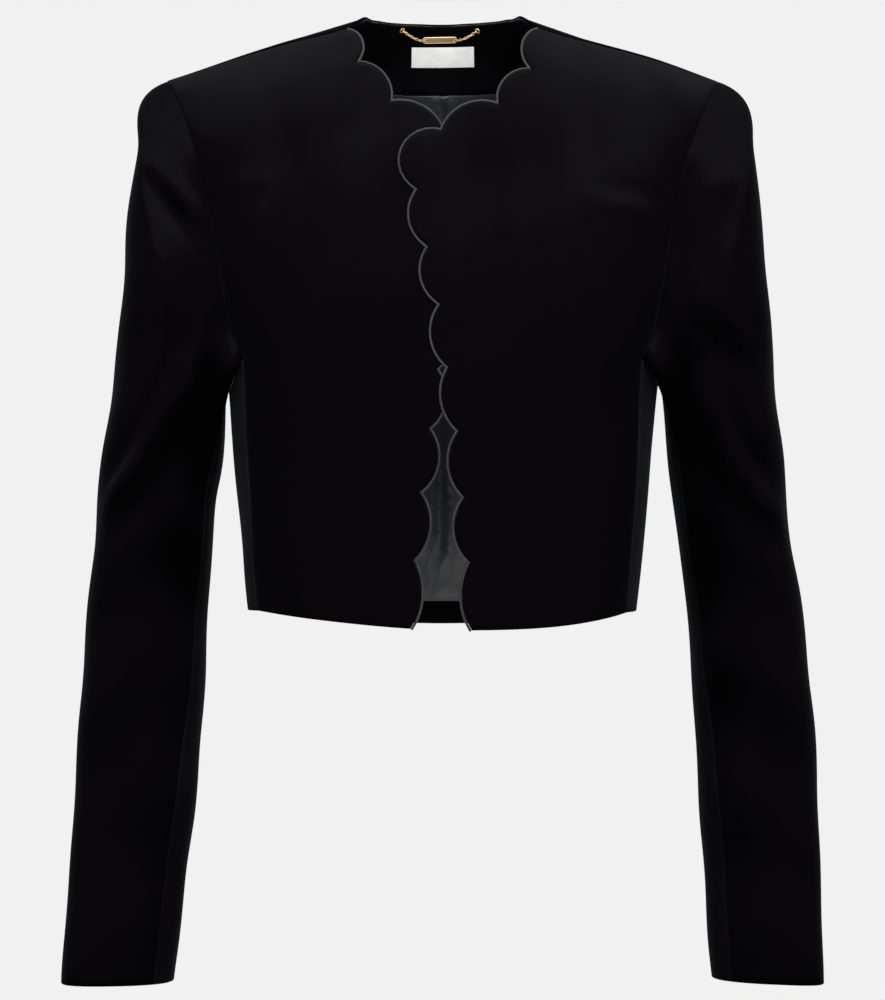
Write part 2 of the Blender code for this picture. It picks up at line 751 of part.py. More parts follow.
def make_back(velvet, satin, label_cloth):
    """The two back panels and, from the same points moved inwards, what lies on them inside."""
    _, _, back_hole = armhole()
    neck = back_neck_line(12)
    seam = curve_through(taped(SIDE_BACK_SEAM, False), SEAM_STEPS)
    hem = hem_line(seam[-1, 0], 0, "back", False, 8)
    half = np.vstack([neck, shoulder_line(8)[1:], back_hole[1:-1], seam[:-1], hem])
    outline = np.vstack([half, half[-2:0:-1] * (-1, 1)])
    facing, lining, hem_facing, label = facing_regions()
    centre = stepped([hem[-1], (0, -SHOULDER_REACH), neck[0]], GRID)
    pleat_top = tape_at(0, FACING_FOOT[0].z, False) - PLEAT_CLEARANCE
    ends = [tape_at(0, PLEAT_FOOT, False), pleat_top]
    folds = [stepped([(x, end) for end in ends], 1.5 * GRID) for x in (-PLEAT_WIDTH, PLEAT_BACK)]
    regions = [np.vstack([ring, ring[:1]]) for ring in (facing, lining, hem_facing, label)]
    cut = cut_cloth(outline, [centre] + folds + regions)
    for name, side in (("left", 1), ("right", -1)):
        half_plane = [(0, TAPE[0]), (side * TAPE[-1], TAPE[0]), (side * TAPE[-1], TAPE[-1]), (0, TAPE[-1])]
        add_panel(f"back_{name}", body_surface, piece_of(*cut, half_plane), velvet)

    def pleated(flat, points):
        x = flat[:, 0]
        height = np.where(x < 0, 1 + x / PLEAT_WIDTH, 1 - x / PLEAT_BACK)
        kept = smoothstep(points[:, 2], PLEAT_FOOT, PLEAT_FOOT + PLEAT_FADE)
        return LINING_WALL + PLEAT_HEIGHT * np.clip(height, 0, 1) * kept

    lay = inside_lift(0)
    add_panel("back_neck_facing", body_surface, piece_of(*cut, facing), velvet, 1, lay, LINING_WALL)
    add_panel("back_lining", body_surface, piece_of(*cut, lining), satin, 1, lay, pleated)
    add_panel("back_hem_facing", body_surface, piece_of(*cut, hem_facing), velvet, 1, lay, LINING_WALL)
    add_panel("label", body_surface, piece_of(*cut, label), label_cloth, 1, inside_lift(1), LINING_WALL)


def inside_lift(layers):
    """The outer face of a piece that lies inside the back wall, over so many layers."""
    return -(WALL + SEAM_GAP + layers * (LINING_WALL + SEAM_GAP))


# Sleeves


def sleeve_ring(table, angle, level):
    """Points round a sleeve: 0 degrees is its outer side, 90 its front, 180 the side by the body."""
    keys = column(table, "level")
    outer = smooth_read(keys, column(table, "outer"), level)
    inner = smooth_read(keys, column(table, "inner"), level)
    centre = smooth_read(keys, column(table, "centre_depth"), level)
    half_depth = smooth_read(keys, column(table, "half_depth"), level)
    cos, sin = np.cos(np.radians(angle)), np.sin(np.radians(angle))
    power = 2 / SLEEVE_SQUARENESS
    x = (outer + inner) / 2 + (outer - inner) / 2 * np.sign(cos) * np.abs(cos) ** power
    y = centre - half_depth * np.sign(sin) * np.abs(sin) ** power
    return np.stack([x, y, level + 0 * x], axis=-1)


def armhole_starts(cut):
    """Where each lengthwise line of a sleeve starts, its direction there and its angle."""
    front, under, back = armhole()
    front_points, front_normals = body_surface(*front.T)
    under_points, under_normals = side_surface(*under.T)
    back_points, back_normals = body_surface(*back.T)
    points = np.vstack([front_points, under_points[1:], back_points[-2:0:-1]])
    normals = np.vstack([front_normals, under_normals[1:], back_normals[-2:0:-1]])
    around = np.roll(points, -1, axis=0) - np.roll(points, 1, axis=0)
    into_hole = unit(np.cross(normals, around))
    steps = np.linalg.norm(np.roll(points, -1, axis=0) - points, axis=1)
    reach = np.concatenate([[0], np.cumsum(steps)])
    lowest = FRONT_STEPS + SIDE_STEPS // 2
    share = np.where(
        reach[:-1] <= reach[lowest],
        reach[:-1] / reach[lowest],
        1 + (reach[:-1] - reach[lowest]) / (reach[-1] - reach[lowest]),
    )
    angles = 180 * share
    radial = points - points.mean(axis=0)
    radial[:, 0] = 0
    radial = unit(radial)
    fall = UNDERARM_FALL[cut] - SHOULDER_FALL
    tilt = np.radians(SHOULDER_FALL + fall * ((1 - np.cos(np.radians(angles))) / 2) ** 1.5)[:, None]
    ways = np.cos(tilt) * np.array([1.0, 0, 0]) + np.sin(tilt) * radial
    inward = (ways * into_hole).sum(-1)
    outward = (ways * normals).sum(-1)
    gap = SEAM_GAP + 0.05
    passing = gap * outward / np.maximum(-inward, 1e-3)
    raise_by = np.where(inward < 0, np.maximum(0.0, gap + 0.1 - passing), 0.0)
    starts = points + gap * into_hole + raise_by[:, None] * normals
    return starts, ways, angles


def folded(points, normals, folds):
    """Raises soft ridges on the cloth that faces the front."""
    raised = np.zeros(points.shape[:-1])
    facing = smoothstep(-normals[..., 1], 0.0, 0.5)
    for fold in folds:
        start = np.array([fold.x1, fold.z1])
        way = np.array([fold.x2, fold.z2]) - start
        reach = points[..., [0, 2]] - start
        share = np.clip((reach @ way) / (way @ way), 0, 1)
        off = np.linalg.norm(reach - share[..., None] * way, axis=-1)
        raised += fold.height * np.exp(-((off / fold.width) ** 2))
    return points + (raised * facing)[..., None] * normals


def sleeve_grid(table, cut, folds):
    """Outer points of a sleeve, a row for each level and a column for each lengthwise line."""
    starts, ways, angles = armhole_starts(cut)
    blend = (1 - np.cos(np.radians(angles))) / 2
    ring_top = RING_TOP_OUTER + (RING_TOP_INNER - RING_TOP_OUTER) * blend
    ends = sleeve_ring(table, angles, ring_top)
    down = unit(sleeve_ring(table, angles, ring_top - 1.0) - ends)
    span = np.linalg.norm(ends - starts, axis=1)[:, None]
    over = np.maximum(0, np.cos(np.radians(angles)))[:, None] ** 2
    leave = span * (HEAD_PULL + HEAD_ROUNDING * over)
    rows = []
    for u in np.linspace(0, 1, HEAD_ROWS + 1):
        rows.append(
            starts * (1 + 2 * u) * (1 - u) ** 2
            + ways * leave * u * (1 - u) ** 2
            + ends * u**2 * (3 - 2 * u)
            + down * span * HEAD_PULL * u**2 * (u - 1)
        )
    front_line = int(np.argmin(np.abs(angles - FRONT_SEAM_ANGLE)))
    back_line = int(np.argmin(np.abs(angles - BACK_SEAM_ANGLE)))
    front_angle, back_angle = angles[front_line], angles[back_line]
    outer_z, inner_z = CUFF_Z[cut]
    cuff = outer_z + (inner_z - outer_z) * blend
    for w in np.linspace(0, 1, ARM_ROWS + 1)[1:]:
        level = ring_top + (cuff - ring_top) * w
        keys = column(FRONT_SEAM_TURNS, "level")
        turn = smooth_read(keys, column(FRONT_SEAM_TURNS, "angle"), level)
        top = np.where(angles > back_angle, angles - 360, angles)
        share_top = (top - (back_angle - 360)) / (front_angle - back_angle + 360)
        share_under = (back_angle - angles) / (back_angle - front_angle)
        on_under = (angles > front_angle) & (angles <= back_angle)
        turned = angles + turn * np.where(on_under, share_under, share_top)
        rows.append(sleeve_ring(table, turned, level))
    points = np.array(rows)
    around = np.roll(points, -1, axis=1) - np.roll(points, 1, axis=1)
    along = np.gradient(points, axis=0)
    normals = unit(np.cross(around, along))
    points = folded(points, normals, folds)
    return points, normals, front_line, back_line


def make_sleeve(cut, side, table, folds, velvet):
    outer, normals, front_line, back_line = sleeve_grid(table, cut, folds)
    inner = outer - WALL * normals
    count = outer.shape[1]
    top = [i % count for i in range(back_line, count + front_line + 1)]
    under = list(range(front_line, back_line + 1))
    mirror = np.array([side, 1, 1])
    for piece, lines in (("top", top), ("under", under)):
        walls = []
        for face in (outer, inner):
            strip = face[:, lines].copy()
            strip[:, 0] += SEAM_GAP / 2 * unit(strip[:, 1] - strip[:, 0])
            strip[:, -1] += SEAM_GAP / 2 * unit(strip[:, -2] - strip[:, -1])
            walls.append(strip.reshape(-1, 3) * mirror)
        width = len(lines)
        faces = [
            (r * width + c, r * width + c + 1, (r + 1) * width + c + 1, (r + 1) * width + c)
            for r in range(outer.shape[0] - 1)
            for c in range(width - 1)
        ]
        add_wall(f"sleeve_{cut}_{piece}", *walls, faces, velvet)


# The chain hanger


def hanger_frame(place, height, half_length=0.0, half_width=0.0):
    """A frame that stands on the facing, clear of it along the piece: x along it, z off the cloth."""
    corners = [(0, 0)] + [(i * half_length, j * half_width) for i in (-1, 1) for j in (-1, 1)]
    xs = np.array([place.x + dx for dx, _ in corners])
    tapes = [tape_at(place.x + dx, place.z + dz, False) for dx, dz in corners]
    points, normals = body_surface(xs, np.array(tapes))
    off = Vector(-normals[0])
    along = Vector((1, 0, 0))
    along = (along - along.dot(off) * off).normalized()
    frame = Matrix((along, off.cross(along), off)).transposed().to_4x4()
    bow = max(0.0, float(((points - points[0]) @ -normals[0]).max()))
    rise = WALL + SEAM_GAP + LINING_WALL + bow + height
    frame.translation = (Vector(points[0]) + rise * off) * MM
    return frame


def bar_frame():
    length, width, thickness = BAR_SIZE
    stand_off = SEAM_GAP + CHAIN_CLEARANCE + thickness / 2
    return hanger_frame(BAR_PLACE, stand_off, length / 2, width / 2)


def ring_frame(cut):
    stand_off = SEAM_GAP + CHAIN_CLEARANCE + RING_WIRE
    return hanger_frame(RING_PLACES[cut], stand_off, RING_RADIUS, RING_RADIUS)


def make_bar(gold):
    length, width, thickness = BAR_SIZE
    corners = []
    round_off = BAR_CORNER
    for sx, sy in ((1, 1), (-1, 1), (-1, -1), (1, -1)):
        start = math.atan2(sy, sx) - math.pi / 4
        for k in range(4):
            turn = start + k * math.pi / 6
            corners.append(
                (
                    sx * (length / 2 - round_off) + round_off * math.cos(turn),
                    sy * (width / 2 - round_off) + round_off * math.sin(turn),
                )
            )
    top = np.array([(x, y, thickness / 2) for x, y in corners])
    bottom = np.array([(x, y, -thickness / 2) for x, y in corners])
    count = len(corners)
    faces = [tuple(range(count)), tuple(range(2 * count - 1, count - 1, -1))]
    faces += [(i, i + count, (i + 1) % count + count, (i + 1) % count) for i in range(count)]
    bar = add_mesh("hanger_bar", np.vstack([top, bottom]), faces, gold)
    for end in (-1, 1):
        bpy.ops.mesh.primitive_cylinder_add(
            vertices=12, radius=BAR_HOLE_RADIUS * MM, depth=4 * thickness * MM
        )
        cutter = bpy.context.object
        cutter.name = f"hanger_bar_hole_cutter_{'left' if end > 0 else 'right'}"
        cutter.hide_render = True
        cutter.display_type = "WIRE"
        cutter.location = (end * (length / 2 - BAR_HOLE_INSET) * MM, 0, 0)
        cutter.parent = bar
        hole = bar.modifiers.new("hole", "BOOLEAN")
        hole.operation = "DIFFERENCE"
        hole.solver = "EXACT"
        hole.object = cutter
    bar.matrix_world = bar_frame()


def make_ring(cut, gold):
    bpy.ops.mesh.primitive_torus_add(
        major_radius=RING_RADIUS * MM,
        minor_radius=RING_WIRE * MM,
        major_segments=14,
        minor_segments=6,
    )
    ring = bpy.context.object
    ring.name = f"hanger_ring_{cut}"
    ring.data.name = ring.name
    ring.data.materials.append(gold)
    ring.matrix_world = ring_frame(cut)


def make_chain(cut, gold):
    """One run of the chain, hanging in a light sag from its ring to the end of the bar."""
    end = 1 if cut == "left" else -1
    frame = ring_frame(cut)
    ring = frame.translation / MM
    off_cloth = frame.to_3x3() @ Vector((0, 0, CHAIN_RADIUS))
    reach = BAR_SIZE[0] / 2 + CHAIN_RADIUS
    stop = bar_frame() @ Vector((end * reach * MM, 0, 0)) / MM
    way = (stop - ring).normalized()
    start = ring + 1.3 * off_cloth + way * (RING_RADIUS + RING_WIRE + SEAM_GAP)
    shares = np.linspace(0, 1, CHAIN_STEPS + 1)
    path = np.array(start) + np.outer(shares, np.array(stop - start))
    sag = CHAIN_SAG * 4 * shares * (1 - shares)
    path[:, 2] -= sag
    path += np.outer(2 * sag, np.array(off_cloth.normalized()))
    upright = np.tile(np.array([0.0, -1.0, 0.0]), (len(path), 1))
    sweep(f"hanger_chain_{cut}", path, upright, CHAIN_RADIUS, CHAIN_SIDES, gold)


def main():
    for obj in list(bpy.data.objects):
        bpy.data.objects.remove(obj, do_unlink=True)
    velvet = finish("black velvet", (0.006, 0.006, 0.007), 0.85)
    piping_satin = finish("charcoal satin piping", (0.05, 0.052, 0.056), 0.4)
    lining_satin = finish("dark grey lining satin", (0.02, 0.022, 0.026), 0.35)
    label_cloth = finish("white label", (0.8, 0.8, 0.78), 0.5)
    gold = finish("gold chain", (0.8, 0.56, 0.2), 0.25, 1.0)

    make_front("left", 1, LEFT_FRONT_EDGE, 1, velvet, piping_satin)
    make_front("right", -1, RIGHT_FRONT_EDGE, -1, velvet, piping_satin)
    make_side("left", 1, velvet)
    make_side("right", -1, velvet)
    make_back(velvet, lining_satin, label_cloth)
    make_sleeve("left", 1, LEFT_SLEEVE, LEFT_SLEEVE_FOLDS, velvet)
    make_sleeve("right", -1, RIGHT_SLEEVE, RIGHT_SLEEVE_FOLDS, velvet)
    make_bar(gold)
    for cut in ("left", "right"):
        make_ring(cut, gold)
        make_chain(cut, gold)


main()
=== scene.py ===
"""Spencer jacket of black velvet, standing hollow in the shape that a wearer gives it.

Sizes are millimetres until a mesh is made, and metres from there on. +Z is up, -Y is the jacket's front
and +X is the wearer's left. The "tape" is a distance laid over the body from the shoulder ridge, plus
to the front and minus to the back, and a "level" is a height before the slope of the shoulders is added.
"""

import math
from collections import namedtuple

import bmesh
import bpy
import numpy as np
from mathutils import Matrix, Vector
from mathutils.geometry import delaunay_2d_cdt


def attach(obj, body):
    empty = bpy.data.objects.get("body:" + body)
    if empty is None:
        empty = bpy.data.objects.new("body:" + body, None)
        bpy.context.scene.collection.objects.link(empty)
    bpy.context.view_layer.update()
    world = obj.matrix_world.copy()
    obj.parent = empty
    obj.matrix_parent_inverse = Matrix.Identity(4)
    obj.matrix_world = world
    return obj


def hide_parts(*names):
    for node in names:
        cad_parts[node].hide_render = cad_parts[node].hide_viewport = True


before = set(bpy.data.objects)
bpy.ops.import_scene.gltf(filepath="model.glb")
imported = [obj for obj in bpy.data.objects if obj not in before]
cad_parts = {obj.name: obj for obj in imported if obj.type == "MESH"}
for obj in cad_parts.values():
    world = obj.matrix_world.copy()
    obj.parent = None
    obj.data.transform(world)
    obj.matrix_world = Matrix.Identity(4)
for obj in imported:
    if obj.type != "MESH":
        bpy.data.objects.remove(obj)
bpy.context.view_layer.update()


# Two fronts.
# Each is one panel of black cotton velvet from the shoulder to the hem, its outer edge cut in scallops.
# The wearer's left front laps over the right one, and the inner face has the colour of the satin lining.

MM = 0.001
VELVET_THICKNESS = 2.0
VELVET_EDGE = 0.95

# The body on a general figure: its side view, its sections and the slope of its shoulders

Profile = namedtuple("Profile", "depth level")
BODY_PROFILE = (
    Profile(86, -462),
    Profile(86, -440),
    Profile(88, -380),
    Profile(93, -320),
    Profile(100, -260),
    Profile(104, -200),
    Profile(101, -150),
    Profile(93, -110),
    Profile(78, -70),
    Profile(60, -38),
    Profile(45, -22),
    Profile(31, -10),
    Profile(17, -3),
    Profile(0, 0),
    Profile(-16, -3),
    Profile(-29, -10),
    Profile(-45, -25),
    Profile(-62, -50),
    Profile(-78, -83),
    Profile(-93, -120),
    Profile(-107, -160),
    Profile(-117, -200),
    Profile(-121, -240),
    Profile(-121, -290),
    Profile(-118, -345),
    Profile(-115, -400),
    Profile(-112, -462),
)

Section = namedtuple("Section", "level half_width squareness")
BODY_SECTIONS = (
    Section(-470, 136.5, 2.6),
    Section(-440, 138.5, 2.6),
    Section(-400, 143, 2.6),
    Section(-350, 147, 2.6),
    Section(-300, 151, 2.6),
    Section(-250, 156, 2.7),
    Section(-200, 167, 2.8),
    Section(-150, 176, 3.0),
    Section(-100, 186, 3.3),
    Section(-50, 197, 4.0),
    Section(0, 208, 5.0),
)

Ridge = namedtuple("Ridge", "x behind in_front")
SHOULDER_RIDGE = (
    Ridge(-15, 34.5, 3.9),
    Ridge(0, 39.3, 4.0),
    Ridge(15, 34.5, 3.9),
    Ridge(31, 22.0, 3.4),
    Ridge(45, 8.0, 2.0),
    Ridge(52, 1.6, 0.5),
    Ridge(56.5, -0.3, -0.8),
    Ridge(66, -5.5, -5.0),
    Ridge(80, -10.0, -10.0),
    Ridge(100, -15.5, -15.5),
    Ridge(144, -28.4, -28.4),
    Ridge(198, -47.2, -47.2),
    Ridge(215, -52.7, -52.7),
)
RIDGE_BLEND = (-10.0, 30.0)
SLOPE_FADES = (-200.0, -20.0)

# Seams and edges on the body, as x against height z, or against the tape near the neck

Seam = namedtuple("Seam", "x z")
Taped = namedtuple("Taped", "x tape")
FRONT_ARMHOLE = (
    Seam(189, -65),
    Seam(180, -88),
    Seam(173, -108),
    Seam(168, -131),
    Seam(161.5, -168),
    Seam(155, -201),
    Seam(150, -227),
    Seam(141, -249),
)
BACK_ARMHOLE = (
    Seam(190, -66),
    Seam(184, -90),
    Seam(179, -115),
    Seam(174.5, -140),
    Seam(169, -175),
    Seam(163, -205),
    Seam(157, -226),
)
SIDE_FRONT_SEAM = (
    Seam(141, -249),
    Seam(140, -276),
    Seam(139, -306),
    Seam(136.5, -362),
    Seam(134, -405),
    Seam(132, -427),
)
SIDE_BACK_SEAM = (
    Seam(157, -226),
    Seam(148, -247),
    Seam(142.5, -272),
    Seam(139.5, -305),
    Seam(136, -350),
    Seam(133, -400),
    Seam(130.5, -427),
)
Side = namedtuple("Side", "y z")
UNDERARM = (Side(-38, -255.5), Side(-6, -257), Side(22, -246))
NECK_CORNER = Taped(69, 20)
SHOULDER_POINT = Taped(198, 10)
SHOULDER_END = Taped(198.4, 0)
BACK_NECK = (
    Taped(-15, -67.5),
    Taped(0, -73.3),
    Taped(15, -67.5),
    Taped(31, -51.4),
    Taped(45, -29.5),
    Taped(52, -14.2),
    Taped(56.5, 0),
    Taped(62.5, 10),
    Taped(69, 20),
)
HEM_AT_CENTRE = -439.5
HEM_RISE = 13.5
HEM_RISE_AT = 141.0
HEM_CURVE = {"left": 3.0, "right": 1.4, "back": 2.0}

# The scalloped edges: the notch at each row, and how far the scallop after it swells from its chord

Notch = namedtuple("Notch", "x z swell")
LEFT_FRONT_EDGE = (
    Notch(69, -13, 9.0),
    Notch(63.8, -44.3, 9.4),
    Notch(40.2, -70.7, 10.4),
    Notch(-0.4, -89.4, 21.0),
    Notch(-16.9, -130.7, 9.6),
    Notch(-9.4, -172, 9.4),
    Notch(-1.0, -212.1, 9.3),
    Notch(4.5, -256, 8.4),
    Notch(11.5, -300.3, 9.0),
    Notch(15.6, -346.5, 9.1),
    Notch(19.4, -391.9, 6.4),
    Notch(20.5, -439.4, 0),
)
RIGHT_FRONT_EDGE = (
    Notch(69, -13, 7.8),
    Notch(62.2, -37.9, 9.6),
    Notch(37.4, -66.8, 9.0),
    Notch(-0.4, -89.4, 21.0),
    Notch(-16.9, -130.7, 9.6),
    Notch(-9.4, -172, 9.4),
    Notch(-1.0, -212.1, 9.3),
    Notch(4.5, -257.4, 9.0),
    Notch(9.9, -298.7, 9.8),
    Notch(16.3, -343.1, 9.2),
    Notch(20.5, -390.3, 6.8),
    Notch(22.6, -439.8, 0),
)
FRONTS = (("left", 1, LEFT_FRONT_EDGE), ("right", -1, RIGHT_FRONT_EDGE))
OVERLAP_LIFT = 1.3
OVERLAP_FADES_X = (60.0, 110.0)
OVERLAP_FADES_TAPE = (20.0, 80.0)


def column(table, name):
    return np.array([getattr(row, name) for row in table], float)


def smooth_read(keys, values, at):
    """Reads a table between its rows on a cubic that passes through each of them."""
    slopes = np.gradient(values, keys)
    row = np.clip(np.searchsorted(keys, at) - 1, 0, len(keys) - 2)
    step = keys[row + 1] - keys[row]
    u = np.clip((at - keys[row]) / step, 0.0, 1.0)
    return (
        values[row] * (1 + 2 * u) * (1 - u) ** 2
        + slopes[row] * step * u * (1 - u) ** 2
        + values[row + 1] * u**2 * (3 - 2 * u)
        + slopes[row + 1] * step * u**2 * (u - 1)
    )


def smoothstep(at, low, high):
    u = np.clip((at - low) / (high - low), 0.0, 1.0)
    return u * u * (3 - 2 * u)


def curve_through(knots, steps):
    """A smooth flat curve through the knots, cut into steps of one length."""
    knots = np.array(knots, float)
    reach = np.concatenate([[0], np.cumsum(np.linalg.norm(np.diff(knots, axis=0), axis=1))])
    fine = np.linspace(0, reach[-1], 50 * steps)
    path = np.stack([smooth_read(reach, knots[:, i], fine) for i in range(2)], axis=1)
    length = np.concatenate([[0], np.cumsum(np.linalg.norm(np.diff(path, axis=0), axis=1))])
    places = np.linspace(0, length[-1], steps + 1)
    return np.stack([np.interp(places, length, path[:, i]) for i in range(2)], axis=1)


def unit(vectors):
    return vectors / np.linalg.norm(vectors, axis=-1, keepdims=True)


DEPTHS = column(BODY_PROFILE, "depth")
LEVELS = column(BODY_PROFILE, "level")
RIDGE_ROW = int(np.argmax(LEVELS))
TAPE = np.concatenate([[0], np.cumsum(np.hypot(np.diff(DEPTHS), np.diff(LEVELS)))])
TAPE = TAPE - TAPE[RIDGE_ROW]


def body_width(level):
    keys = column(BODY_SECTIONS, "level")
    half = smooth_read(keys, column(BODY_SECTIONS, "half_width"), level)
    return half, smooth_read(keys, column(BODY_SECTIONS, "squareness"), level)


def body_point(x, tape):
    depth = smooth_read(TAPE, DEPTHS, tape)
    level = smooth_read(TAPE, LEVELS, tape)
    half, squareness = body_width(level)
    across = np.clip(np.abs(x) / half, 0.0, 0.9999)
    y = depth * (1 - across**squareness) ** (1 / squareness)
    ridge_x = column(SHOULDER_RIDGE, "x")
    behind = smooth_read(ridge_x, column(SHOULDER_RIDGE, "behind"), np.abs(x))
    in_front = smooth_read(ridge_x, column(SHOULDER_RIDGE, "in_front"), np.abs(x))
    ridge = behind + (in_front - behind) * smoothstep(tape, *RIDGE_BLEND)
    return np.stack([x + 0 * y, y, level + ridge * smoothstep(level, *SLOPE_FADES)], axis=-1)


SLOPE_STEP = 0.1


def body_surface(x, tape):
    """Points on the outer face of the body and the directions that point out of it."""
    along_x = body_point(x + SLOPE_STEP, tape) - body_point(x - SLOPE_STEP, tape)
    along_tape = body_point(x, tape + SLOPE_STEP) - body_point(x, tape - SLOPE_STEP)
    return body_point(x, tape), unit(-np.cross(along_x, along_tape))


def side_point(y, z):
    half, squareness = body_width(z)
    front = smooth_read(LEVELS[RIDGE_ROW:][::-1], DEPTHS[RIDGE_ROW:][::-1], z)
    back = smooth_read(LEVELS[: RIDGE_ROW + 1], DEPTHS[: RIDGE_ROW + 1], z)
    depth = np.where(y < 0, -front, back)
    across = np.clip(np.abs(y) / depth, 0.0, 0.9999)
    x = half * (1 - across**squareness) ** (1 / squareness)
    return np.stack([x, y + 0 * x, z + 0 * x], axis=-1)


def side_surface(y, z):
    along_y = side_point(y + SLOPE_STEP, z) - side_point(y - SLOPE_STEP, z)
    along_z = side_point(y, z + SLOPE_STEP) - side_point(y, z - SLOPE_STEP)
    return side_point(y, z), unit(np.cross(along_y, along_z))


def tape_at(x, z, front):
    """The tape reading where the body's front or back is at height z over x."""
    reach = np.linspace(0, TAPE[-1] if front else TAPE[0], 600)
    heights = body_point(np.full(len(reach), float(x)), reach)[:, 2]
    return float(np.interp(z, heights[::-1], reach[::-1]))


def taped(places, front):
    return [(place.x, tape_at(place.x, place.z, front)) for place in places]


def hem_height(x, cut):
    rise = HEM_RISE * (np.abs(x) / HEM_RISE_AT) ** HEM_CURVE[cut]
    return HEM_AT_CENTRE + rise


def shoulder_tape(x):
    share = (x - NECK_CORNER.x) / (SHOULDER_POINT.x - NECK_CORNER.x)
    return NECK_CORNER.tape + (SHOULDER_POINT.tape - NECK_CORNER.tape) * share


# Slow waves that keep pressed cloth from lying like a sheet of metal, as a way, a length and a height

Wave = namedtuple("Wave", "x y z length height")
BODY_WAVES = (
    Wave(0.9, 0.2, 0.35, 128, 0.5),
    Wave(0.5, -0.4, -0.8, 83, 0.35),
    Wave(-0.3, 0.9, 0.5, 66, 0.25),
)

# Creases of wear, as a ridge from one point to another seen from the front

Crease = namedtuple("Crease", "x1 z1 x2 z2 width height")
FRONT_CREASES = (
    Crease(108, -137, 140, -147, 9, 1.5),
    Crease(112, -127, 146, -134, 7, -1.0),
    Crease(88, -235, 93, -350, 17, 2.0),
    Crease(66, -262, 73, -372, 13, -1.4),
    Crease(118, -268, 116, -384, 15, -1.5),
    Crease(133, -215, 112, -262, 10, 1.4),
    Crease(-92, -246, -96, -352, 17, 1.8),
    Crease(-70, -270, -72, -380, 13, -1.2),
    Crease(-120, -262, -117, -384, 15, -1.4),
    Crease(-131, -205, -104, -250, 11, 1.5),
    Crease(-118, -120, -150, -128, 9, 1.2),
)
BACK_CREASES = (
    Crease(150, -140, 92, -168, 12, 1.7),
    Crease(148, -168, 86, -206, 11, -1.2),
    Crease(-150, -140, -90, -172, 12, 1.7),
    Crease(-148, -170, -88, -210, 11, -1.2),
    Crease(64, -250, 70, -372, 18, 1.8),
    Crease(-66, -246, -72, -368, 18, 1.8),
    Crease(30, -300, 26, -420, 14, -1.2),
    Crease(-34, -296, -28, -418, 14, -1.2),
)
CREASE_START, CREASE_SPAN = 0.12, 0.76
FACING_FADES = (0.0, 0.5)


def crease_height(points, facing, creases):
    """How far the creases raise the cloth, where facing is 1 on the side that they are on."""
    raised = np.zeros(points.shape[:-1])
    for crease in creases:
        start = np.array([crease.x1, crease.z1])
        way = np.array([crease.x2, crease.z2]) - start
        reach = points[..., [0, 2]] - start
        share = np.clip((reach @ way) / (way @ way), 0, 1)
        off = np.linalg.norm(reach - share[..., None] * way, axis=-1)
        taper = np.sin(math.pi * (CREASE_START + CREASE_SPAN * share))
        raised += crease.height * taper * np.exp(-((off / crease.width) ** 2))
    return raised * facing


def wave_height(points, waves):
    raised = np.zeros(points.shape[:-1])
    for wave in waves:
        way = unit(np.array([wave.x, wave.y, wave.z]))
        raised += wave.height * np.sin(2 * math.pi * (points @ way) / wave.length)
    return raised


def body_drape(points, normals, side):
    """The height of the body's cloth off the smooth figure, on the side that side mirrors it to."""
    placed = points * (side, 1, 1)
    to_front = smoothstep(-normals[:, 1], *FACING_FADES)
    to_back = smoothstep(normals[:, 1], *FACING_FADES)
    creases = crease_height(placed, to_front, FRONT_CREASES)
    return creases + crease_height(placed, to_back, BACK_CREASES) + wave_height(placed, BODY_WAVES)


def distances(points, line):
    """How far each point lies from the nearest part of a line of points."""
    start, edge = line[:-1], np.diff(line, axis=0)
    size = np.maximum((edge * edge).sum(-1), 1e-12)
    reach = points[:, None, :] - start[None]
    share = np.clip((reach * edge).sum(-1) / size, 0, 1)
    return np.linalg.norm(reach - share[..., None] * edge, axis=-1).min(axis=1)


def contained(points, outline):
    start, end = outline, np.roll(outline, -1, axis=0)
    v = points[:, None, 1]
    spans = (start[:, 1] > v) != (end[:, 1] > v)
    rise = np.where(end[:, 1] == start[:, 1], 1.0, end[:, 1] - start[:, 1])
    crossing = start[:, 0] + (v - start[:, 1]) / rise * (end[:, 0] - start[:, 0])
    return (spans & (points[:, None, 0] < crossing)).sum(axis=1) % 2 == 1


CLOTH_STEP = 5.0
CLOTH_ROW = 0.87 * CLOTH_STEP
CLEAR_OF_EDGE = 0.5 * CLOTH_STEP
CLEAR_OF_LINE = 0.4 * CLOTH_STEP


def cut_cloth(outline, lines=()):
    """Triangles over a flat outline, with seams or folds drawn on it as lines."""
    outline = np.array(outline, float)
    lines = [np.array(line, float) for line in lines]
    low, high = outline.min(axis=0), outline.max(axis=0)
    reach = math.ceil(max(abs(low[0]), abs(high[0])) / CLOTH_STEP) + 1
    rows = np.arange(low[1] + CLOTH_STEP / 2, high[1], CLOTH_ROW)
    grid = np.array([
        ((k + 0.5 * (r % 2)) * CLOTH_STEP, v)
        for r, v in enumerate(rows)
        for k in range(-reach, reach + 1)
    ])
    closed = np.vstack([outline, outline[:1]])
    grid = grid[contained(grid, outline)]
    grid = grid[distances(grid, closed) > CLEAR_OF_EDGE]
    points, edges = list(outline), []
    for line in lines:
        grid = grid[distances(grid, line) > CLEAR_OF_LINE]
        edges += [(len(points) + k, len(points) + k + 1) for k in range(len(line) - 1)]
        points += list(line)
    points += list(grid)
    cut = delaunay_2d_cdt([Vector(p) for p in points], edges, [list(range(len(outline)))], 1, 1e-4)
    flat = np.array([tuple(p) for p in cut[0]])
    faces = []
    for face in cut[2]:
        a, b, c = flat[list(face)]
        turned = (b[0] - a[0]) * (c[1] - a[1]) - (b[1] - a[1]) * (c[0] - a[0]) < 0
        faces.append(tuple(face)[::-1] if turned else tuple(face))
    return flat, faces


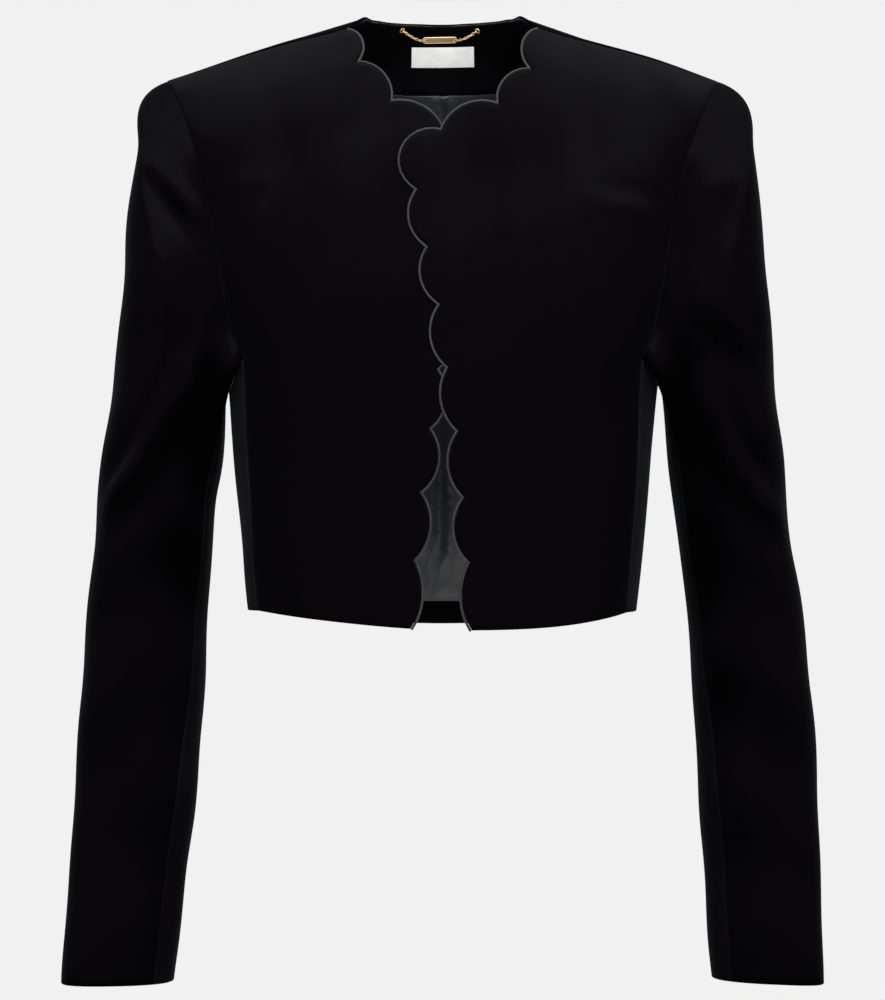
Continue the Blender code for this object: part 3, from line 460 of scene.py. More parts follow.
def open_edges(faces):
    """The directed edges that only one face has."""
    ways = {pair for face in faces for pair in zip(face, face[1:] + face[:1])}
    return [(a, b) for a, b in sorted(ways) if (b, a) not in ways]


def piece_of(flat, faces, region=None, inset=VELVET_EDGE):
    """The part of a cut inside a region, its border where it was and its points drawn in from it."""
    if region is not None:
        middles = np.array([flat[list(face)].mean(axis=0) for face in faces])
        inside = contained(middles, np.array(region, float))
        faces = [face for face, kept in zip(faces, inside) if kept]
    used = sorted({i for face in faces for i in face})
    place = {i: k for k, i in enumerate(used)}
    faces = [tuple(place[i] for i in face) for face in faces]
    flat = flat[used]
    inward = {}
    for a, b in open_edges(faces):
        edge = unit(flat[b] - flat[a])
        for i in (a, b):
            inward.setdefault(i, []).append(np.array([-edge[1], edge[0]]))
    drawn = flat.copy()
    for i, sides in inward.items():
        way = unit(np.sum(sides, axis=0))
        drawn[i] += inset / max(way @ sides[0], 0.5) * way
    return drawn, flat, faces


# Painted light and shade for the velvet's colour: cloth that faces up is painted paler by the first
# number, a whole piece is painted paler or darker by the second, and none is painted paler than the
# third

PaintedShade = namedtuple("PaintedShade", "lie brushed most")
# Backs are painted darker where they face up, side panels and facings paler all over, and sleeves with
# strong painted light and shade on their folds
PAINTED_LIGHT_FROM_ABOVE = PaintedShade(1.0, 0.0, 1.0)
PAINTED_SHADE_FACING_UP = PaintedShade(-0.5, 0.0, 1.0)
PAINTED_PALER_ALL_OVER = PaintedShade(1.0, 0.80, 1.0)
PAINTED_LIGHT_ON_SLEEVES = PaintedShade(2.6, -0.30, 0.73)
PAINTED_LIGHT_UNDER_SLEEVES = PaintedShade(1.2, 0.30, 0.80)


def painted_shade_by_facing(mesh, painted_shade):
    """Painted light and shade at each point of a mesh, from dark at 0 to pale at 1, paler where the
    cloth faces up as if lit from above.
    """
    facing = np.empty(3 * len(mesh.vertices), np.float32)
    mesh.vertices.foreach_get("normal", facing)
    shade = 0.5 + 0.5 * (painted_shade.lie * facing.reshape(-1, 3)[:, 2] + painted_shade.brushed)
    return np.clip(shade, 0, painted_shade.most).astype(np.float32)


def linked(name, data):
    """A new object in the scene that holds a mesh, a light or a camera."""
    thing = bpy.data.objects.new(name, data)
    bpy.context.scene.collection.objects.link(thing)
    return thing


EDGE_TURNS = (38, 90, 142)


def rolled_wall(name, outer, normals, border, faces, depth, cloths, painted_shade=PAINTED_LIGHT_FROM_ABOVE):
    """A closed wall of cloth whose edge turns over in a half circle, reaching out to its border."""
    first = outer[list(faces[len(faces) // 2][:3])]
    out = normals[faces[len(faces) // 2][0]]
    if np.cross(first[1] - first[0], first[2] - first[0]) @ out < 0:
        faces = [face[::-1] for face in faces]
    count = len(outer)
    edges = open_edges(faces)
    rim = sorted({i for edge in edges for i in edge})
    place = {i: k for k, i in enumerate(rim)}
    rows = []
    for turn in map(math.radians, EDGE_TURNS):
        sunk = depth[rim] * (1 - math.cos(turn)) / 2
        reach = (border[rim] - outer[rim]) * math.sin(turn)
        rows.append(outer[rim] + reach - sunk[:, None] * normals[rim])
    points = np.vstack([outer, outer - depth[:, None] * normals, *rows])
    levels = [lambda i: i]
    levels += [lambda i, r=r: 2 * count + r * len(rim) + place[i] for r in range(len(rows))]
    levels += [lambda i: i + count]
    all_faces = list(faces)
    for upper, lower in zip(levels, levels[1:]):
        all_faces += [(upper(b), upper(a), lower(a), lower(b)) for a, b in edges]
    outside = len(all_faces)
    all_faces += [tuple(i + count for i in face[::-1]) for face in faces]
    mesh = bpy.data.meshes.new(name)
    mesh.from_pydata([tuple(p) for p in points * MM], [], all_faces)
    for cloth in cloths:
        mesh.materials.append(cloth)
    inside = [int(k >= outside and len(cloths) > 1) for k in range(len(all_faces))]
    mesh.polygons.foreach_set("material_index", inside)
    mesh.shade_smooth()
    # Painted light and shade for the velvet's colour, stored on the mesh
    painted_light = mesh.attributes.new("painted_light", "FLOAT", "POINT")
    painted_light.data.foreach_set("value", painted_shade_by_facing(mesh, painted_shade))
    return linked(name, mesh)


def lay_cloth(name, cut, cloths, side=1, surface=body_surface, lift=None, depth=None, painted_shade=PAINTED_LIGHT_FROM_ABOVE):
    """Lays a flat cut on the figure: lift moves its outer face out, and side -1 mirrors it."""
    drawn, flat, faces = cut
    points, normals = surface(drawn[:, 0], drawn[:, 1])
    edge_points, edge_normals = surface(flat[:, 0], flat[:, 1])
    raised = body_drape(points, normals, side) + (lift(drawn) if lift else 0.0)
    edge_raised = body_drape(edge_points, edge_normals, side) + (lift(flat) if lift else 0.0)
    thickness = depth(drawn, points) if depth else np.full(len(drawn), VELVET_THICKNESS)
    mirror = np.array([side, 1, 1])
    outer = (points + raised[:, None] * normals) * mirror
    border = (edge_points + edge_raised[:, None] * edge_normals) * mirror
    return rolled_wall(name, outer, normals * mirror, border, faces, thickness, cloths, painted_shade)


def arc(start, end, swell, steps):
    """Points on the round scallop between two notches; it swells away from the cloth."""
    start, end = np.array(start, float), np.array(end, float)
    half = np.linalg.norm(end - start) / 2
    way = (end - start) / (2 * half)
    outward = np.array([way[1], -way[0]])
    radius = (half**2 + swell**2) / (2 * swell)
    centre = (start + end) / 2 + outward * (swell - radius)
    turns = np.linspace(-1, 1, steps + 1) * 2 * math.atan(swell / half)
    return centre + radius * (np.outer(np.cos(turns), outward) + np.outer(np.sin(turns), way))


def edge_notches(edge, cut):
    top = body_point(np.array([NECK_CORNER.x]), np.array([NECK_CORNER.tape]))[0]
    notches = [(row.x, row.z) for row in edge]
    notches[0] = (NECK_CORNER.x, top[2])
    notches[-1] = (edge[-1].x, float(hem_height(edge[-1].x, cut)))
    return notches


def scallops(edge, cut, steps):
    """Each scallop of an edge as its own run of points on the body, x against tape."""
    notches = edge_notches(edge, cut)
    runs = []
    for row, start, end in zip(edge, notches, notches[1:]):
        seen = arc(start, end, row.swell, steps)
        runs.append(np.array([(x, tape_at(x, z, True)) for x, z in seen]))
    return runs


FRONT_HOLE_STEPS = 27
SIDE_HOLE_STEPS = 18
BACK_HOLE_STEPS = 27


def armhole():
    """The armhole's points from the shoulder down the front, under the arm and up the back."""
    front = curve_through([SHOULDER_POINT] + taped(FRONT_ARMHOLE, True), FRONT_HOLE_STEPS)
    back = curve_through([SHOULDER_POINT, SHOULDER_END] + taped(BACK_ARMHOLE, False), BACK_HOLE_STEPS)
    front_end, _ = body_surface(*front[-1:].T)
    back_end, _ = body_surface(*back[-1:].T)
    under = curve_through([front_end[0, 1:], *UNDERARM, back_end[0, 1:]], SIDE_HOLE_STEPS)
    return front, under, back


def with_overlap(side):
    """The wearer's left front stands off the right one where it laps over it near the centre."""

    def lift(flat):
        near_centre = 1 - smoothstep(np.abs(flat[:, 0]), *OVERLAP_FADES_X)
        return side * OVERLAP_LIFT * near_centre * smoothstep(flat[:, 1], *OVERLAP_FADES_TAPE)

    return lift


def hem_line(start_x, end_x, cut, front, steps):
    xs = np.linspace(start_x, end_x, steps + 1)
    return np.array([(x, tape_at(x, float(hem_height(x, cut)), front)) for x in xs])


def shoulder_line(steps):
    """The shoulder seam from the neck out, x against tape."""
    xs = np.linspace(NECK_CORNER.x, SHOULDER_POINT.x, steps + 1)
    return np.stack([xs, shoulder_tape(xs)], axis=1)


def plain_material(name):
    material = bpy.data.materials.new(name)
    material.use_nodes = True
    return material, material.node_tree.nodes, material.node_tree.links


def noise_on(nodes, links, place, scale, detail, distortion=0.0):
    noise = nodes.new("ShaderNodeTexNoise")
    noise.inputs["Scale"].default_value = scale
    noise.inputs["Detail"].default_value = detail
    noise.inputs["Distortion"].default_value = distortion
    links.new(place, noise.inputs["Vector"])
    return noise.outputs["Fac"]


def ramp_on(nodes, links, factor, stops):
    ramp = nodes.new("ShaderNodeValToRGB")
    links.new(factor, ramp.inputs["Fac"])
    marks = ramp.color_ramp.elements
    first, last = marks[0], marks[1]
    first.position, last.position = stops[0][0], stops[-1][0]
    first.color, last.color = (*stops[0][1], 1), (*stops[-1][1], 1)
    for position, colour in stops[1:-1]:
        marks.new(position).color = (*colour, 1)
    return ramp.outputs["Color"]


def bump_on(nodes, links, height, strength, distance, under=None):
    bump = nodes.new("ShaderNodeBump")
    bump.inputs["Strength"].default_value = strength
    bump.inputs["Distance"].default_value = distance
    links.new(height, bump.inputs["Height"])
    if under is not None:
        links.new(under, bump.inputs["Normal"])
    return bump.outputs["Normal"]


CLOUD_SHARE = 0.20
CLOUDS_DRAWN_DOWN = 0.4
# Velvet colours from painted shade to painted light, read from the stored painted light and shade with
# the clouds added
VELVET_PAINTED_SHADES = (
    (0.34, (0.0006, 0.0005, 0.0007)),
    (0.56, (0.0016, 0.0013, 0.0018)),
    (0.72, (0.0018, 0.0015, 0.0020)),
    (0.86, (0.0037, 0.0034, 0.0041)),
    (1.00, (0.0074, 0.0072, 0.0081)),
)


def velvet_material():
    """Cotton velvet that swallows light, in soft clouds, with light and shade painted into its colour
    from the mesh.
    """
    material, nodes, links = plain_material("black velvet")
    shader = nodes["Principled BSDF"]
    place = nodes.new("ShaderNodeTexCoord").outputs["Object"]
    drawn_down = nodes.new("ShaderNodeMapping")
    drawn_down.inputs["Scale"].default_value = (1.0, 1.0, CLOUDS_DRAWN_DOWN)
    links.new(place, drawn_down.inputs["Vector"])
    drawn = drawn_down.outputs["Vector"]
    clouds = noise_on(nodes, links, drawn, scale=17.0, detail=2.0, distortion=0.4)
    tufts = noise_on(nodes, links, place, scale=420.0, detail=2.0)
    hairs = noise_on(nodes, links, place, scale=1500.0, detail=1.0)
    # Painted light and shade stored on the mesh, paler where the cloth faces up
    painted_light = nodes.new("ShaderNodeAttribute")
    painted_light.attribute_name = "painted_light"
    shade = nodes.new("ShaderNodeMath")
    shade.operation = "MULTIPLY_ADD"
    shade.inputs[1].default_value = CLOUD_SHARE
    links.new(clouds, shade.inputs[0])
    links.new(painted_light.outputs["Fac"], shade.inputs[2])
    colour = ramp_on(nodes, links, shade.outputs["Value"], VELVET_PAINTED_SHADES)
    links.new(colour, shader.inputs["Base Color"])
    brushed = bump_on(nodes, links, clouds, strength=0.22, distance=0.004)
    tufted = bump_on(nodes, links, tufts, strength=0.30, distance=0.0008, under=brushed)
    haired = bump_on(nodes, links, hairs, strength=0.35, distance=0.0004, under=tufted)
    links.new(haired, shader.inputs["Normal"])
    shader.inputs["Roughness"].default_value = 0.75
    shader.inputs["Specular IOR Level"].default_value = 0.0
    shader.inputs["Sheen Weight"].default_value = 0.024
    shader.inputs["Sheen Roughness"].default_value = 0.30
    shader.inputs["Sheen Tint"].default_value = (0.62, 0.68, 0.85, 1.0)
    return material


FLOAT_LENGTH = 6


def satin_material(name, colour, lighter, roughness, weave, shine, sheen):
    """Satin: long floats of thread that run one way, so that light draws out across them."""
    material, nodes, links = plain_material(name)
    shader = nodes["Principled BSDF"]
    place = nodes.new("ShaderNodeTexCoord").outputs["Object"]
    floats = nodes.new("ShaderNodeMapping")
    floats.inputs["Scale"].default_value = (weave, weave, weave / FLOAT_LENGTH)
    links.new(place, floats.inputs["Vector"])
    threads = noise_on(nodes, links, floats.outputs["Vector"], scale=1.0, detail=2.0)
    drift = noise_on(nodes, links, place, scale=26.0, detail=2.0, distortion=0.4)
    shades = ramp_on(nodes, links, drift, [(0.32, colour), (0.70, lighter)])
    links.new(shades, shader.inputs["Base Color"])
    soft = bump_on(nodes, links, drift, strength=0.55, distance=0.009)
    woven = bump_on(nodes, links, threads, strength=0.25, distance=0.0003, under=soft)
    links.new(woven, shader.inputs["Normal"])
    shader.inputs["Roughness"].default_value = roughness
    shader.inputs["Specular IOR Level"].default_value = shine
    shader.inputs["Sheen Weight"].default_value = sheen
    return material


def fit(piece, node):
    """Ties a piece to the body and hides the solid from model.glb that it stands for."""
    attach(piece, "root")
    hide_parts(node)


def dress(piece, node):
    """Fits a piece of cloth."""
    fit(piece, node)


velvet = velvet_material()
lining_satin = satin_material(
    "charcoal lining satin",
    colour=(0.008, 0.009, 0.0105),
    lighter=(0.016, 0.017, 0.0195),
    roughness=0.38,
    weave=2400.0,
    shine=0.45,
    sheen=0.08,
)
SCALLOP_STEPS = 16
SEAM_STEPS = 60
FRONT_HEM_STEPS = 44
FRONT_SHOULDER_STEPS = 40

for cut, side, edge in FRONTS:
    opening = np.vstack([run[:-1] for run in scallops(edge, cut, SCALLOP_STEPS)])
    seam = curve_through(taped(SIDE_FRONT_SEAM, True), SEAM_STEPS)
    hem = hem_line(edge[-1].x, seam[-1, 0], cut, True, FRONT_HEM_STEPS)
    front_hole, _, _ = armhole()
    shoulder = shoulder_line(FRONT_SHOULDER_STEPS)
    outline = np.vstack([opening, hem, seam[-2::-1], front_hole[-2:0:-1], shoulder[:0:-1]])
    panel = piece_of(*cut_cloth(outline))
    front = lay_cloth(
        f"front_{cut}_panel", panel, [velvet, lining_satin], side, body_surface, with_overlap(side)
    )
    dress(front, f"front_{cut}")


# Covered piping along each scalloped edge.
# A cord in a bias strip of charcoal satin, sewn along the velvet's edge round every scallop.
# It turns a sharp corner in each notch.

PIPING_RADIUS = 0.9
PIPING_SIDES = 12
PIPING_STEPS = 12
PIPING_CLEARANCE = 0.15
FINE_STEPS = 12
NOTCH_ROOM = 5
CORNER_SLACK = 0.02


def piping_line(edge, cut, steps, away):
    """The line that the piping follows, away from the edge, with a corner at each notch."""
    fine = FINE_STEPS * steps
    dense = scallops(edge, cut, fine)
    border = np.vstack(dense)
    line = []
    for run in dense:
        way = unit(np.gradient(run, axis=0))
        moved = run + away * np.stack([-way[:, 1], way[:, 0]], axis=1)
        kept = np.nonzero(distances(moved, border) > away - CORNER_SLACK)[0]
        first, last = kept[0] + NOTCH_ROOM, kept[-1] - NOTCH_ROOM
        marks = [k for k in range(0, fine + 1, FINE_STEPS) if first < k < last]
        stretch = [moved[kept[0]]] + [moved[k] for k in marks] + [moved[kept[-1]]]
        if line:
            stretch[0] = (line.pop() + stretch[0]) / 2
        line += stretch
    return np.array(line)


def sweep(name, path, normals, radius, sides, material):
    """A round cord along a path, mitred at its corners and closed at both ends."""
    ways = unit(np.diff(path, axis=0))
    before = np.vstack([ways[:1], ways])
    after = np.vstack([ways, ways[-1:]])
    tangent = unit(before + after)
    mitre = 1 / np.clip((tangent * after).sum(-1), 0.5, 1.0)
    across = unit(np.cross(tangent, normals)) * mitre[:, None]
    upright = unit(np.cross(across, tangent))
    turns = np.arange(sides) * 2 * math.pi / sides
    rings = [path + radius * (math.cos(turn) * upright + math.sin(turn) * across) for turn in turns]
    points = np.stack(rings, axis=1).reshape(-1, 3)
    faces = []
    for k in range(len(path) - 1):
        this, after_this = k * sides, (k + 1) * sides
        for i in range(sides):
            j = (i + 1) % sides
            faces.append((this + i, this + j, after_this + j, after_this + i))
    faces += [tuple(range(sides))[::-1], tuple(range((len(path) - 1) * sides, len(path) * sides))]
    quad = points[list(faces[0])]
    out = quad.mean(axis=0) - path[:2].mean(axis=0)
    if np.cross(quad[1] - quad[0], quad[2] - quad[0]) @ out < 0:
        faces = [face[::-1] for face in faces]
    mesh = bpy.data.meshes.new(name)
    mesh.from_pydata([tuple(p) for p in points * MM], [], faces)
    mesh.materials.append(material)
    mesh.shade_smooth()
    return linked(name, mesh)


piping_satin = satin_material(
    "charcoal piping satin",
    colour=(0.008, 0.0082, 0.009),
    lighter=(0.0125, 0.0128, 0.0139),
    roughness=0.42,
    weave=3000.0,
    shine=0.24,
    sheen=0.035,
)
for cut, side, edge in FRONTS:
    line = piping_line(edge, cut, PIPING_STEPS, PIPING_RADIUS + PIPING_CLEARANCE)
    points, normals = body_surface(line[:, 0], line[:, 1])
    raised = with_overlap(side)(line) + body_drape(points, normals, side) - VELVET_THICKNESS / 2
    mirror = np.array([side, 1, 1])
    path = (points + raised[:, None] * normals) * mirror
    upright = normals * mirror
    piping = sweep(f"piping_{cut}_cord", path, upright, PIPING_RADIUS, PIPING_SIDES, piping_satin)
    fit(piping, f"piping_{cut}")


# Two side panels.
# A narrow panel of velvet under each arm, between the front and the back, cut out below the armhole.
# They are joined by pressed-open seams, and their inner face has the lining's colour.

SIDE_HEM_STEPS = 28

for cut, side in (("left", 1), ("right", -1)):
    _, under, _ = armhole()
    front_seam = curve_through(taped(SIDE_FRONT_SEAM, True), SEAM_STEPS)
    back_seam = curve_through(taped(SIDE_BACK_SEAM, False), SEAM_STEPS)
    front_points = body_point(front_seam[:, 0], front_seam[:, 1])
    back_points = body_point(back_seam[:, 0], back_seam[:, 1])
    front_points[-1, 2] = hem_height(front_points[-1, 0], cut)
    back_points[-1, 2] = hem_height(back_points[-1, 0], "back")
    hem = curve_through([front_points[-1, 1:], back_points[-1, 1:]], SIDE_HEM_STEPS)
    outline = np.vstack([front_points[:, 1:], hem[1:-1], back_points[::-1, 1:], under[-2:0:-1]])
    panel = piece_of(*cut_cloth(outline))
    # The side panels' velvet is painted paler all over
    under_arm = lay_cloth(
        f"side_{cut}_panel", panel, [velvet, lining_satin], side, side_surface, painted_shade=PAINTED_PALER_ALL_OVER
    )
    dress(under_arm, f"side_{cut}")


# Two back panels.
# They meet in a seam down the centre, and the neck is cut in a plain curve between the shoulders.
# Everything that lies on them inside is cut on the same lines, so that the layers follow each other.

FACING_FOOT = (Seam(0, -50), Seam(10, -50), Seam(22, -50), Seam(38, -49.5), Seam(66, -46))
FACING_FRONT = (Taped(92, -26), Taped(100, 6))
NECK_SIDE = 61.0
EDGE_INSET = 0.6
LINING_INSET = 7.0
LINING_SHOULDER = Taped(176, -8)
HEM_FACING_TOP = -423.0
PLEAT_WIDTH = 9.0
PLEAT_BACK = 2.0
PLEAT_FOOT = -396.0
PLEAT_CLEARANCE = 4.0
LABEL_SIZE = (48.5, 14.7)
LABEL_Z = -22.3
FOOT_STEPS = 28
LABEL_POINTS = 17
FACING_NECK_STEPS = 34
FACING_CORNER_ROOM = 2
LINING_SIDE_STEPS = 64
LINING_HEM_STEPS = 52
ABOVE_HEM = 1
BACK_NECK_STEPS = 44
BACK_HEM_STEPS = 36
BACK_SHOULDER_STEPS = 36
BEYOND_EDGE = 400


def back_neck_line(steps):
    """The back neck edge from the centre out to the front corner."""
    line = curve_through([(row.x, row.tape) for row in BACK_NECK[1:]], steps)
    line[:, 1] = smooth_read(column(BACK_NECK, "x"), column(BACK_NECK, "tape"), line[:, 0])
    return line


def both_sides(half):
    """A line given from the centre out, run from one side through the centre to the other."""
    half = np.array(half, float)
    return np.vstack([half[:0:-1] * (-1, 1), half])


def stepped(corners, step):
    """Points along straight lines from corner to corner, no further apart than the step."""
    corners = np.array(corners, float)
    runs = []
    for start, end in zip(corners, corners[1:]):
        pieces = max(1, math.ceil(np.linalg.norm(end - start) / step))
        runs.append(start + np.outer(np.arange(pieces) / pieces, end - start))
    return np.vstack(runs + [corners[-1:]])


def level_line(z, reach, steps):
    xs = np.linspace(-reach, reach, steps + 1)
    return np.array([(x, tape_at(x, z, False)) for x in xs])


def facing_foot():
    """The lower edge of the neck facing, from one front corner to the other."""
    return both_sides(curve_through(taped(FACING_FOOT, False) + list(FACING_FRONT), FOOT_STEPS))


def label_edge(end):
    """The label's upper edge at end 1 and its lower edge at end -1."""
    width, height = LABEL_SIZE
    z = LABEL_Z + end * height / 2
    return [(x, tape_at(x, z, False)) for x in np.linspace(-width / 2, width / 2, LABEL_POINTS)]


def inside_regions():
    """Outlines of what lies inside the back: neck facing, lining, hem facing and label."""
    foot = facing_foot()
    front_tape = FACING_FRONT[-1].tape
    neck = back_neck_line(FACING_NECK_STEPS) - (0, EDGE_INSET)
    neck = neck[neck[:, 1] < front_tape - FACING_CORNER_ROOM]
    neck = np.vstack([neck, (NECK_SIDE + EDGE_INSET, front_tape)])
    facing = np.vstack([both_sides(neck), foot[::-1]])
    side = taped(BACK_ARMHOLE[2:], False) + taped(SIDE_BACK_SEAM[1:-1], False)
    side = curve_through(side, LINING_SIDE_STEPS) - (LINING_INSET, 0)
    side = np.vstack([stepped([foot[-1], LINING_SHOULDER, side[0]], CLOTH_STEP)[1:-1], side])
    hem_top = level_line(HEM_FACING_TOP, side[-1, 0], LINING_HEM_STEPS)
    lining = np.vstack([foot, side[:-1], hem_top[::-1], side[-2::-1] * (-1, 1)])
    heights = hem_height(hem_top[:, 0], "back") + ABOVE_HEM
    hem_foot = [(x, tape_at(x, float(z), False)) for x, z in zip(hem_top[:, 0], heights)]
    hem_facing = np.vstack([hem_top, hem_foot[::-1]])
    return facing, lining, hem_facing, np.vstack([label_edge(1), label_edge(-1)[::-1]])


neck = back_neck_line(BACK_NECK_STEPS)
seam = curve_through(taped(SIDE_BACK_SEAM, False), SEAM_STEPS)
hem = hem_line(seam[-1, 0], 0, "back", False, BACK_HEM_STEPS)
_, _, back_hole = armhole()
shoulder = shoulder_line(BACK_SHOULDER_STEPS)
half = np.vstack([neck, shoulder[1:], back_hole[1:-1], seam[:-1], hem])
outline = np.vstack([half, half[-2:0:-1] * (-1, 1)])
facing, lining, hem_facing, label_place = inside_regions()
pleat_top = tape_at(0, FACING_FOOT[0].z, False) - PLEAT_CLEARANCE
pleat_ends = [tape_at(0, PLEAT_FOOT, False), pleat_top]
lines = [stepped([hem[-1], neck[0]], CLOTH_STEP)]
lines += [stepped([(x, end) for end in pleat_ends], CLOTH_STEP) for x in (-PLEAT_WIDTH, PLEAT_BACK)]
lines += [np.vstack([ring, ring[:1]]) for ring in (facing, lining, hem_facing, label_place)]
back_cut = cut_cloth(outline, lines)
for cut, side in (("left", 1), ("right", -1)):
    far = side * BEYOND_EDGE
    panel = piece_of(*back_cut, [(0, TAPE[0]), (far, TAPE[0]), (far, TAPE[-1]), (0, TAPE[-1])])
    # The backs' velvet is painted darker where it faces up
    back = lay_cloth(f"back_{cut}_panel", panel, [velvet, lining_satin], painted_shade=PAINTED_SHADE_FACING_UP)
    dress(back, f"back_{cut}")


# The back neck facing, the back lining and the hem facing.
# Velvet faces the neck and the hem inside, and satin lines the back between them.
# A pleat down the centre of the lining, held at the top and let go near the hem, gives the arms room.

LAYER_GAP = 0.3
LINING_THICKNESS = 1.0
PLEAT_HEIGHT = 2.2
PLEAT_FADE = 14.0
LINING_EDGE = 0.4


def inside_lift(layers):
    """The outer face of a piece that lies inside the back wall, over so many layers."""
    return -(VELVET_THICKNESS + LAYER_GAP + layers * (LINING_THICKNESS + LAYER_GAP))


def flat_lay(flat, points):
    return np.full(len(flat), LINING_THICKNESS)


def pleated(flat, points):
    """The lining's thickness, with the pleat standing off the cloth like a soft fold."""
    x = flat[:, 0]
    height = np.where(x < 0, 1 + x / PLEAT_WIDTH, 1 - x / PLEAT_BACK)
    kept = smoothstep(points[:, 2], PLEAT_FOOT, PLEAT_FOOT + PLEAT_FADE)
    return LINING_THICKNESS + PLEAT_HEIGHT * np.clip(height, 0, 1) * kept


def lay_inside(name, region, cloth, layers, depth, painted_shade=PAINTED_PALER_ALL_OVER):
    cut = piece_of(*back_cut, region, LINING_EDGE)
    return lay_cloth(name, cut, [cloth], lift=lambda flat: inside_lift(layers), depth=depth, painted_shade=painted_shade)


neck_facing = lay_inside("back_neck_facing_panel", facing, velvet, 0, flat_lay)
dress(neck_facing, "back_neck_facing")
back_lining = lay_inside("back_lining_panel", lining, lining_satin, 0, pleated)
dress(back_lining, "back_lining")
hem_strip = lay_inside("back_hem_facing_strip", hem_facing, velvet, 0, flat_lay, painted_shade=PAINTED_LIGHT_FROM_ABOVE)
dress(hem_strip, "back_hem_facing")


# The label.
# A blank strip of white woven satin, sewn to the neck facing by its two folded ends.

LABEL_THICKNESS = 0.6
LABEL_EDGE = 0.25
LABEL_STAND = 0.05
LABEL_STITCHES_IN = 1.3
LABEL_STITCHES_END = 0.8
LABEL_STITCH_POINTS = 9
STITCH_SPACING = 2.3
STITCH_LENGTH = 1.5
STITCH_THICKNESS = 0.16
LINING_STITCH_SPACING = 4.0
LINING_STITCH_STEP = 8.0
LINING_STITCH_SINK = 0.05
LINING_STITCH_REACH = 126.0


def label_material():
    """White satin ribbon, with the fine cross ribs of a narrow loom."""
    material, nodes, links = plain_material("white woven ribbon")
    shader = nodes["Principled BSDF"]
    place = nodes.new("ShaderNodeTexCoord").outputs["Object"]
    drift = noise_on(nodes, links, place, scale=90.0, detail=2.0)
    white, paler = (0.80, 0.80, 0.785), (0.88, 0.88, 0.865)
    links.new(ramp_on(nodes, links, drift, [(0.3, white), (0.7, paler)]), shader.inputs["Base Color"])
    ribs = nodes.new("ShaderNodeTexWave")
    ribs.bands_direction = "X"
    ribs.inputs["Scale"].default_value = 420.0
    ribs.inputs["Distortion"].default_value = 0.4
    links.new(place, ribs.inputs["Vector"])
    ribbed = bump_on(nodes, links, ribs.outputs["Fac"], strength=0.25, distance=0.0002)
    links.new(ribbed, shader.inputs["Normal"])
    shader.inputs["Roughness"].default_value = 0.42
    shader.inputs["Sheen Weight"].default_value = 0.15
    return material


def path_object(name, path):
    """A bare line of edges for a Geometry Nodes tree to follow."""
    mesh = bpy.data.meshes.new(name)
    mesh.from_pydata([tuple(p) for p in path * MM], [(i, i + 1) for i in range(len(path) - 1)], [])
    return linked(name, mesh)


def start_tree(name, sizes):
    """A node tree with a geometry in and out and a named input for each size."""
    tree = bpy.data.node_groups.new(name, "GeometryNodeTree")
    tree.interface.new_socket("Geometry", in_out="INPUT", socket_type="NodeSocketGeometry")
    for label in sizes:
        tree.interface.new_socket(label, in_out="INPUT", socket_type="NodeSocketFloat")
    tree.interface.new_socket("Geometry", in_out="OUTPUT", socket_type="NodeSocketGeometry")
    return tree, tree.nodes.new("NodeGroupInput").outputs


def along_path(tree, given, spacing):
    """Points at one spacing on the path, and the turn that lays an X axis along it."""
    nodes, links = tree.nodes, tree.links
    curve = nodes.new("GeometryNodeMeshToCurve")
    links.new(given["Geometry"], curve.inputs["Mesh"])
    points = nodes.new("GeometryNodeCurveToPoints")
    points.mode = "LENGTH"
    links.new(curve.outputs["Curve"], points.inputs["Curve"])
    links.new(spacing, points.inputs["Length"])
    turn = nodes.new("FunctionNodeAlignRotationToVector")
    turn.axis = "X"
    links.new(points.outputs["Tangent"], turn.inputs["Vector"])
    return points.outputs["Points"], turn.outputs["Rotation"]


def end_tree(tree, instances, material):
    nodes, links = tree.nodes, tree.links
    real = nodes.new("GeometryNodeRealizeInstances")
    links.new(instances, real.inputs["Geometry"])
    smooth = nodes.new("GeometryNodeSetShadeSmooth")
    links.new(real.outputs["Geometry"], smooth.inputs["Geometry"])
    coat = nodes.new("GeometryNodeSetMaterial")
    coat.inputs["Material"].default_value = material
    links.new(smooth.outputs["Geometry"], coat.inputs["Geometry"])
    links.new(coat.outputs["Geometry"], nodes.new("NodeGroupOutput").inputs["Geometry"])


